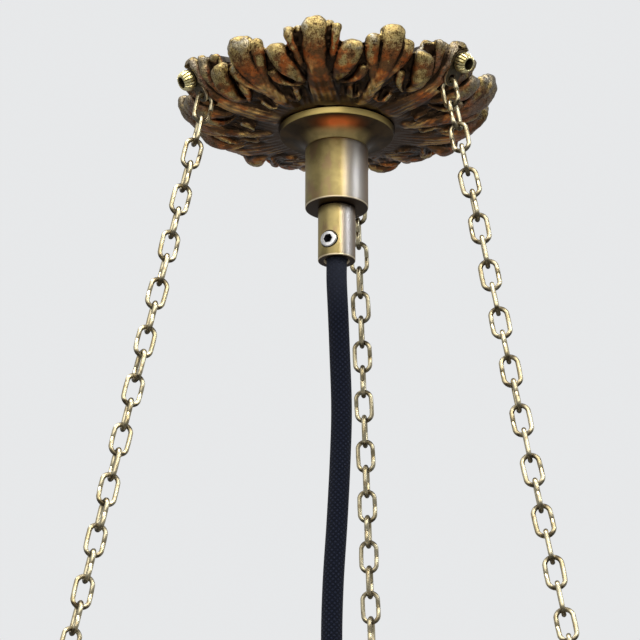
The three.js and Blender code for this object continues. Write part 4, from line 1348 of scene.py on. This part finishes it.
def zinc_plate():
    material, place = new_material("shade_dark_zinc_plate")
    flake = place.node("ShaderNodeTexVoronoi", None, {"Vector": place, "Scale": 1 / (3 * mm)})
    cloud = noise(place, 9 * mm, 3)
    grime = noise(place, 2.2 * mm, 4, 0.65)
    spangle = (flake * 0.4 + cloud * 0.6).between(0.2, 0.7)
    # Painted shade: the zinc is coloured nearly black, so that the plate reads as shade.
    zinc = mix((0.030, 0.027, 0.024), (0.075, 0.068, 0.060), spangle)
    colour = mix(zinc, (0.018, 0.012, 0.008), grime.between(0.42, 0.60) * 0.85)
    return shader(material, base_color=colour, metallic=0.6, roughness=grime * 0.25 + 0.50,
                  normal=bump(grime, 0.05 * mm, 0.5))


bracket = ceiling_bracket()
finish(bracket, "pressed_bracket", "root", "zinc_steel", zinc_plate(), "ceiling_bracket")
print("bracket faces:", len(bracket.data.polygons))

# %% Terminal block with three poles, its screws, and the cores
poles = {"live": -7, "earth": 0, "neutral": 7}
block_back, block_front = -21, -10
block_low, block_high = -10.8, -2.3
port_height = -7.55
screw_row = -15.5
slot_half = 0.25


def terminal_block():
    block = soft_edges(box((-12, block_back, block_low), (12, block_front, block_high)), 0.6, 3)
    for x in poles.values():
        combine(block, rod(1.9, block_low - 1, -6.8, 32, at=(x, screw_row)))
        combine(block, rod(1.5, block_back - 1, block_front + 1, 24, axis="Y", at=(x, port_height)))
    for x in (-3.5, 3.5):
        gap = box((x - 0.5, block_back - 1, block_low - 1), (x + 0.5, block_front + 1, block_low + 1.2))
        combine(block, gap)
    return smooth(block, 30)


def glazed_porcelain():
    material, place = new_material("glazed_porcelain")
    cloud = noise(place, 5 * mm, 3)
    speck = noise(place, 0.6 * mm, 3, 0.7)
    base = mix((0.72, 0.68, 0.60), (0.80, 0.77, 0.70), cloud)
    colour = mix(base, (0.42, 0.35, 0.26), speck.between(0.68, 0.76) * 0.5)
    return shader(material, base_color=colour, roughness=cloud * 0.15 + 0.16, coat_weight=0.4,
                  coat_roughness=0.08, normal=bump(cloud + speck * 0.15, 0.08 * mm, 0.4))


def core_sleeve(name, dark, light, stripe=None):
    """Smooth rubber on a wire; the earth core has a stripe of its own along it."""
    material, place = new_material(name)
    cloud = noise(place, 1.5 * mm, 3)
    colour = mix(dark, light, cloud)
    if stripe:
        around = split(place.node("ShaderNodeUVMap", {"uv_map": "around_along"}))[0]
        colour = mix(colour, stripe, around.waves(1).between(0.45, 0.55))
    return shader(material, base_color=colour, roughness=cloud * 0.2 + 0.38,
                  normal=bump(cloud, 0.03 * mm, 0.4))


def moulded_plastic():
    """Cream plastic with the fine grain of its mould."""
    material, place = new_material("moulded_plastic")
    cloud = noise(place, 6 * mm, 3)
    grain = noise(place, 0.35 * mm, 3)
    colour = mix((0.66, 0.63, 0.53), (0.74, 0.71, 0.61), cloud)
    return shader(material, base_color=colour, roughness=grain * 0.2 + 0.38,
                  normal=bump(grain, 0.03 * mm, 0.4))


porcelain = glazed_porcelain()
block = terminal_block()
finish(block, "moulded_terminal_block", "root", "terminal_body", moulded_plastic(), "terminal_block")
brown_core = core_sleeve("brown_core", (0.070, 0.030, 0.014), (0.115, 0.052, 0.024))
striped_core = core_sleeve("striped_core", (0.035, 0.16, 0.030), (0.055, 0.22, 0.045), (0.62, 0.52, 0.05))
blue_core = core_sleeve("blue_core", (0.018, 0.070, 0.30), (0.030, 0.105, 0.40))
core_looks = {
    "live": ("core_brown", brown_core),
    "earth": ("core_green", striped_core),
    "neutral": ("core_blue", blue_core),
}
for i, (pole, x) in enumerate(poles.items()):
    terminal_screw = soft_edges(rod(1.6, block_low, -9.05, 32, at=(x, screw_row)), 0.2)
    combine(terminal_screw, box((x - 2, screw_row - slot_half, block_low - 1),
                                (x + 2, screw_row + slot_half, block_low + 0.7)))
    finish(smooth(terminal_screw, 30), "slotted_screw_" + pole, "root", "turned_brass", hidden_brass,
           "terminal_screw_" + str(i + 1))
    start, side = 2.16 * (i - 1), i - 1
    route = [(start, 0, -11.6), (start, 0, -9.2), (start + side, -5, -6.55), (x, -9, port_height),
             (x, -13.6, port_height)]
    core = tube(smooth_line(route, 8) * mm, 0.9 * mm, 20)
    finish(core, "core_to_" + pole, "root", *core_looks[pole], "core_" + pole)

# %% [markdown]
# ## Hoop, lugs and rivets
# A turned ring carries the bowl on an inner ledge. Two fine grooves run around its wall. Three lugs are
# riveted to it, each a foot plate with a web and an eye that the last link hangs in.

# %% Hoop
hoop_outer, hoop_inner, ledge_inner = 108.954, 106.954, 101.754
hoop_top, hoop_bottom = -322.083, -336.083
rivet_height, rivet_hole, rivet_radius = -328.383, 1.9, 1.6
groove_depth = 0.4


def wall_groove(height):
    """Corners of a fine groove around the wall, from above to below."""
    return [(hoop_outer, height + 0.7, 0.1), (hoop_outer - groove_depth, height + 0.25, 0.1),
            (hoop_outer - groove_depth, height - 0.25, 0.1), (hoop_outer, height - 0.7, 0.1)]


ledge_top = hoop_bottom + 1.6
hoop = turned([(hoop_inner, hoop_top, 0.4), (hoop_outer, hoop_top, 0.6), *wall_groove(-324.0),
               *wall_groove(-334.2), (hoop_outer, hoop_bottom, 0.6), (ledge_inner, hoop_bottom, 0.4),
               (ledge_inner, ledge_top, 0.4), (hoop_inner, ledge_top, 0.3)], 240)
for turn in sides.values():
    hole = rod(rivet_hole, hoop_inner - 3, hoop_outer + 3, 32, axis="X", at=(0, rivet_height))
    cut(hoop, moved(hole, about_z(turn)))
smooth(hoop, 30)
print("hoop faces:", len(hoop.data.polygons))

# %% Lug and rivet, modelled once in the plane of one chain
foot_inner, foot_outer = 109.254, 110.854
foot_top, foot_bottom = -322.383, -334.383
eye_x, eye_z = 114.154, -317.483
eye_radius, eye_rim, lug_half = 2.1, 1.3, 0.8


def wedge(corners, half):
    """A cube whose four upright corners in the XZ plane are given; it is as thick as two halves along Y."""
    piece = box((-1, -half, -1), (1, half, 1))
    points = points_of(piece) / mm
    placed = points.copy()
    for (x, z), target in zip(((-1, 1), (1, 1), (1, -1), (-1, -1)), corners):
        here = (np.sign(points[:, 0]) == x) & (np.sign(points[:, 2]) == z)
        placed[here, 0], placed[here, 2] = target
    return tidy_mesh(set_points(piece, placed * mm))


def lug():
    foot = soft_edges(box((foot_inner, -5, foot_bottom), (foot_outer, 5, foot_top)), 0.4, 3)
    reach, web_top = eye_radius + eye_rim / 2, eye_z - 0.6
    add(foot, wedge([(eye_x - reach, web_top), (eye_x + reach, web_top), (foot_outer, foot_top - 4),
                     (foot_inner + 0.5, foot_top - 1)], lug_half))
    ring = rod(eye_radius + eye_rim, -lug_half, lug_half, 48, axis="Y", at=(eye_x, eye_z))
    add(foot, soft_edges(ring, 0.25))
    cut(foot, rod(eye_radius, -3, 3, 48, axis="Y", at=(eye_x, eye_z)))
    cut(foot, rod(rivet_hole, foot_inner - 2, foot_outer + 2, 32, axis="X", at=(0, rivet_height)))
    return smooth(foot, 30)


def rivet():
    """Turned along its own axis, then laid along X."""
    end, head = hoop_inner + 0.3, foot_outer + 0.3
    piece = turned([(0, end), (rivet_radius, end, 0.2), (rivet_radius, head), (2.8, head, 0.1),
                    (2.7, head + 0.4, 0.3), (1.9, head + 1.0, 0.5), (0, head + 1.2)], 40)
    lay = Matrix.Translation((0, 0, rivet_height * mm)) @ Matrix.Rotation(math.pi / 2, 4, "Y")
    return moved(piece, lay)


hoop_brass = satin_brass("satin_brass_hoop", hoop_top, hoop_bottom)
finish(hoop, "bowl_hoop", "hoop", "turned_brass", hoop_brass, "hoop")
lug_pattern, rivet_pattern = lug(), rivet()
for side, turn in sides.items():
    lug_copy, rivet_copy = (copy_of(pattern, about_z(turn)) for pattern in (lug_pattern, rivet_pattern))
    finish(lug_copy, "riveted_lug_" + side, "hoop", "turned_brass", hidden_brass, "lug_" + side)
    finish(rivet_copy, "domed_rivet_" + side, "hoop", "turned_brass", hidden_brass, "rivet_" + side)
for pattern in (lug_pattern, rivet_pattern):
    bpy.data.objects.remove(pattern)

# %% [markdown]
# ## Glass bowl
# Opal glass is blown in a mould: milky through its whole wall, with a fire-polished lip that lies on the
# hoop's ledge. The outline is a quarter of an ellipse outside and inside. Light sinks into the glass, which
# subsurface scattering gives, and a clear skin on top gives the gloss.

# %% Bowl outline and opal glass
bowl_seat, bowl_rim_top = -334.183, -329.683
bowl_rim, bowl_body, bowl_inner = 106.654, 101.454, 97.854
bowl_depth, bowl_wall = 92, 3.6


def quarter(radius, depth, top, steps=24):
    """From just under the widest point down to the axis."""
    turns = [math.pi / 2 * (i + 1) / steps for i in range(steps)]
    return [(radius * math.cos(turn) if i + 1 < steps else 0, top - depth * math.sin(turn), 0)
            for i, turn in enumerate(turns)]


bowl = turned([*quarter(bowl_inner, bowl_depth - bowl_wall, bowl_seat)[::-1], (bowl_inner, bowl_rim_top, 1.6),
               (bowl_rim, bowl_rim_top, 1.6), (bowl_rim, bowl_seat, 0.8), (bowl_body, bowl_seat, 0.5),
               *quarter(bowl_body, bowl_depth, bowl_seat)], 144)


def opal_glass():
    material, place = new_material("opal_glass")
    cloud = noise(place, 40 * mm, 3)
    swirl = noise(stretched(place, 1, 1, 3), 12 * mm, 3)
    seed = noise(place, 1.2 * mm, 2)
    colour = mix((0.80, 0.785, 0.74), (0.86, 0.85, 0.815), cloud * 0.6 + swirl * 0.4)
    return shader(material, base_color=colour, roughness=seed * 0.06 + 0.10, coat_weight=0.5,
                  coat_roughness=0.05, subsurface_weight=0.35, subsurface_radius=(1.0, 0.9, 0.75),
                  subsurface_scale=0.008,
                  normal=bump(swirl + seed * 0.1, 0.10 * mm, 0.3))


finish(bowl, "opal_bowl", "bowl", "opal_glass", opal_glass(), "glass_bowl")
print("bowl faces:", len(bowl.data.polygons))

# %% [markdown]
# ## Lampholder and bulb
# Inside the bowl hangs a brass lampholder: a ribbed cord entry, a domed cap, a sleeve with a rolled lip, a
# porcelain insert, and a threaded shell that the bulb's cap turns in. All are turned outlines. The thread is
# a slow screw wave that runs around and up, laid on the outline's points.

# %% Turned pieces of the holder
def screw_wave(piece, pitch, depth, low, high, least):
    """Pushes the points of a wall in and out along a screw line, between two heights."""
    points = points_of(piece) / mm
    radius, turn = polar(points)
    share = ramp(points[:, 2], low, 1.5) * ramp(points[:, 2], high, -1.5)
    wave = np.sin(2 * math.pi * points[:, 2] / pitch - turn) * depth * share * (radius > least)
    points[:, :2] *= (1 + wave / np.maximum(radius, 1))[:, None]
    return set_points(piece, points * mm)


def upright(radius, low, high, steps):
    """Corners straight up a wall, close enough together to carry a screw wave."""
    return [(radius, low + (high - low) * i / steps) for i in range(steps + 1)]


entry_bore, entry_radius, entry_groove, entry_top, entry_low = 3.9, 5.5, 5.1, -246.0, -258.0
holder_radius, dome_radius, cap_top, cap_low, cap_wall = 20.5, 5.1, -258.3, -280.0, 1.2
sleeve_inner, sleeve_top, sleeve_low = 19.3, -280.3, -322.0
shell_inner, shell_outer, shell_top, shell_low = 13.8, 14.5, -289.9, -315.6
thread_pitch, thread_depth, thread_least = 3.6, 0.28, 10
bulb_cap_radius, bulb_cap_low, bulb_thread_top = 12.9, -317.4, -296.4


def entry_rib(height):
    """Corners of one groove around the cord entry, from below to above."""
    return [(entry_radius, height, 0.1), (entry_groove, height + 0.4, 0.1),
            (entry_groove, height + 1.6, 0.1), (entry_radius, height + 2, 0.1)]


entry = turned([(entry_bore, entry_low, 0.1), (entry_radius, entry_low, 0.2), *entry_rib(-255),
                *entry_rib(-250.5), (entry_radius, entry_top, 0.5), (entry_bore, entry_top, 0.3)], 64)
dome = cubic([(dome_radius, cap_top), (12.3, -260.47), (holder_radius, -264.81),
              (holder_radius, cap_low)], 14)
inside = [(x - cap_wall, z - cap_wall) for x, z in dome[1:-1]] + [(holder_radius - cap_wall, cap_low)]
cap = turned([(entry_bore, cap_top, 0.1), *dome, *inside[::-1], (entry_bore, cap_top - cap_wall)], 96)
sleeve = turned([(sleeve_inner, sleeve_top), (holder_radius, sleeve_top, 0.2), (holder_radius, -284, 0.1),
                 (20.0, -284.5, 0.2), (20.0, -285.5, 0.2), (holder_radius, -286, 0.1),
                 (holder_radius, -319.0, 0.2), (20.2, -319.6, 0.2), (holder_radius, -320.3, 0.4),
                 (holder_radius, sleeve_low, 0.5), (sleeve_inner, sleeve_low, 0.4)], 96)
insert = turned([(0, -289.6), (16, -289.6, 0.5), (18.9, -288.4, 0.5), (18.9, -280.6, 0.5), (0, -280.6)], 64)
screw_shell = turned([*upright(shell_inner, shell_top, shell_low, 40)[::-1],
                      *upright(shell_outer, shell_low, shell_top, 40)[::-1]], 64)
screw_wave(screw_shell, thread_pitch, thread_depth, shell_low, shell_top, thread_least)
contact = turned([(0, -291.4), (1.6, -291.4, 0.4), (3, -290.6, 0.3), (3, shell_top), (0, shell_top)], 32)
bulb_cap = turned([(0, bulb_cap_low), (bulb_cap_radius, bulb_cap_low, 0.3),
                   *upright(bulb_cap_radius, bulb_cap_low + 0.6, bulb_thread_top, 36), (10.5, -294.6, 0.6),
                   (5.2, -293.2, 0.3), (3.6, -292.6, 0.2), (2.6, -291.7, 0.4), (0, -291.7)], 64)
screw_wave(bulb_cap, thread_pitch, thread_depth, bulb_cap_low + 0.4, bulb_thread_top, thread_least)

glass_top, ball_centre, ball_radius, neck_radius, glass_wall = -317.7, -367.7, 30, 14, 1.0


def envelope(inset, steps=16):
    """One skin of the bulb's glass, from the neck down to the axis."""
    neck, ball = neck_radius - inset, ball_radius - inset
    low = glass_top - neck_radius
    shoulder = cubic([(neck, low), (neck * 1.3, low - neck), (ball, ball_centre + ball * 0.8),
                      (ball, ball_centre)], steps)
    return [(neck, glass_top, 0.2), *shoulder, *quarter(ball, ball, ball_centre, 16)]


bulb_glass = turned([*envelope(0), *envelope(glass_wall)[::-1]], 72)
holder_pieces = (entry, cap, sleeve, insert, screw_shell, bulb_cap, bulb_glass)
print("holder and bulb faces:", [len(piece.data.polygons) for piece in holder_pieces])


# %% Materials of the holder's inside and the bulb
def plated_cap():
    """Bright plated metal with a dark glass disc around the tip."""
    material, place = new_material("bulb_cap_metal")
    radius, height, _ = radius_height_turn(place)
    cloud = noise(place, 3 * mm, 3)
    scratch = noise(stretched(place, 0.1, 0.1, 1), 0.3 * mm, 3)
    metal = mix((0.52, 0.52, 0.53), (0.70, 0.70, 0.71), cloud * 0.5 + scratch * 0.5)
    insulator = height.between(-294.9 * mm, -294.5 * mm) * radius.between(3.3 * mm, 3.8 * mm)
    colour = mix(metal, (0.012, 0.012, 0.014), insulator)
    return shader(material, base_color=colour, metallic=1 - insulator, roughness=scratch * 0.15 + 0.22,
                  normal=bump(scratch, 0.03 * mm, 0.4))


def frosted_glass():
    material, place = new_material("frosted_glass")
    cloud = noise(place, 15 * mm, 3)
    grain = noise(place, 0.4 * mm, 3)
    colour = mix((0.78, 0.76, 0.72), (0.82, 0.80, 0.77), cloud)
    return shader(material, base_color=colour, roughness=grain * 0.08 + 0.30, subsurface_weight=0.25,
                  subsurface_radius=(1.0, 0.92, 0.8), subsurface_scale=0.004, coat_weight=0.3,
                  coat_roughness=0.15,
                  normal=bump(grain, 0.02 * mm, 0.4))


holder_brass = satin_brass("satin_brass_holder", cap_top, sleeve_low)
finish(entry, "ribbed_cord_entry", "lampholder", "turned_brass", hidden_brass, "holder_grip")
finish(cap, "domed_cap", "lampholder", "turned_brass", holder_brass, "holder_cap")
finish(sleeve, "holder_sleeve", "lampholder", "turned_brass", holder_brass, "holder_shell")
finish(insert, "porcelain_insert", "lampholder", "porcelain", porcelain, "holder_insert")
finish(screw_shell, "threaded_shell", "lampholder", "chain_brass", hidden_brass, "screw_shell")
finish(contact, "contact_button", "lampholder", "chain_brass", hidden_brass, "centre_contact")
finish(bulb_cap, "bulb_screw_cap", "bulb", "bulb_metal", plated_cap(), "bulb_cap")
finish(bulb_glass, "bulb_envelope", "bulb", "frosted_glass", frosted_glass(), "bulb_glass")

# %% Bring the scene up to date
bpy.context.view_layer.update()
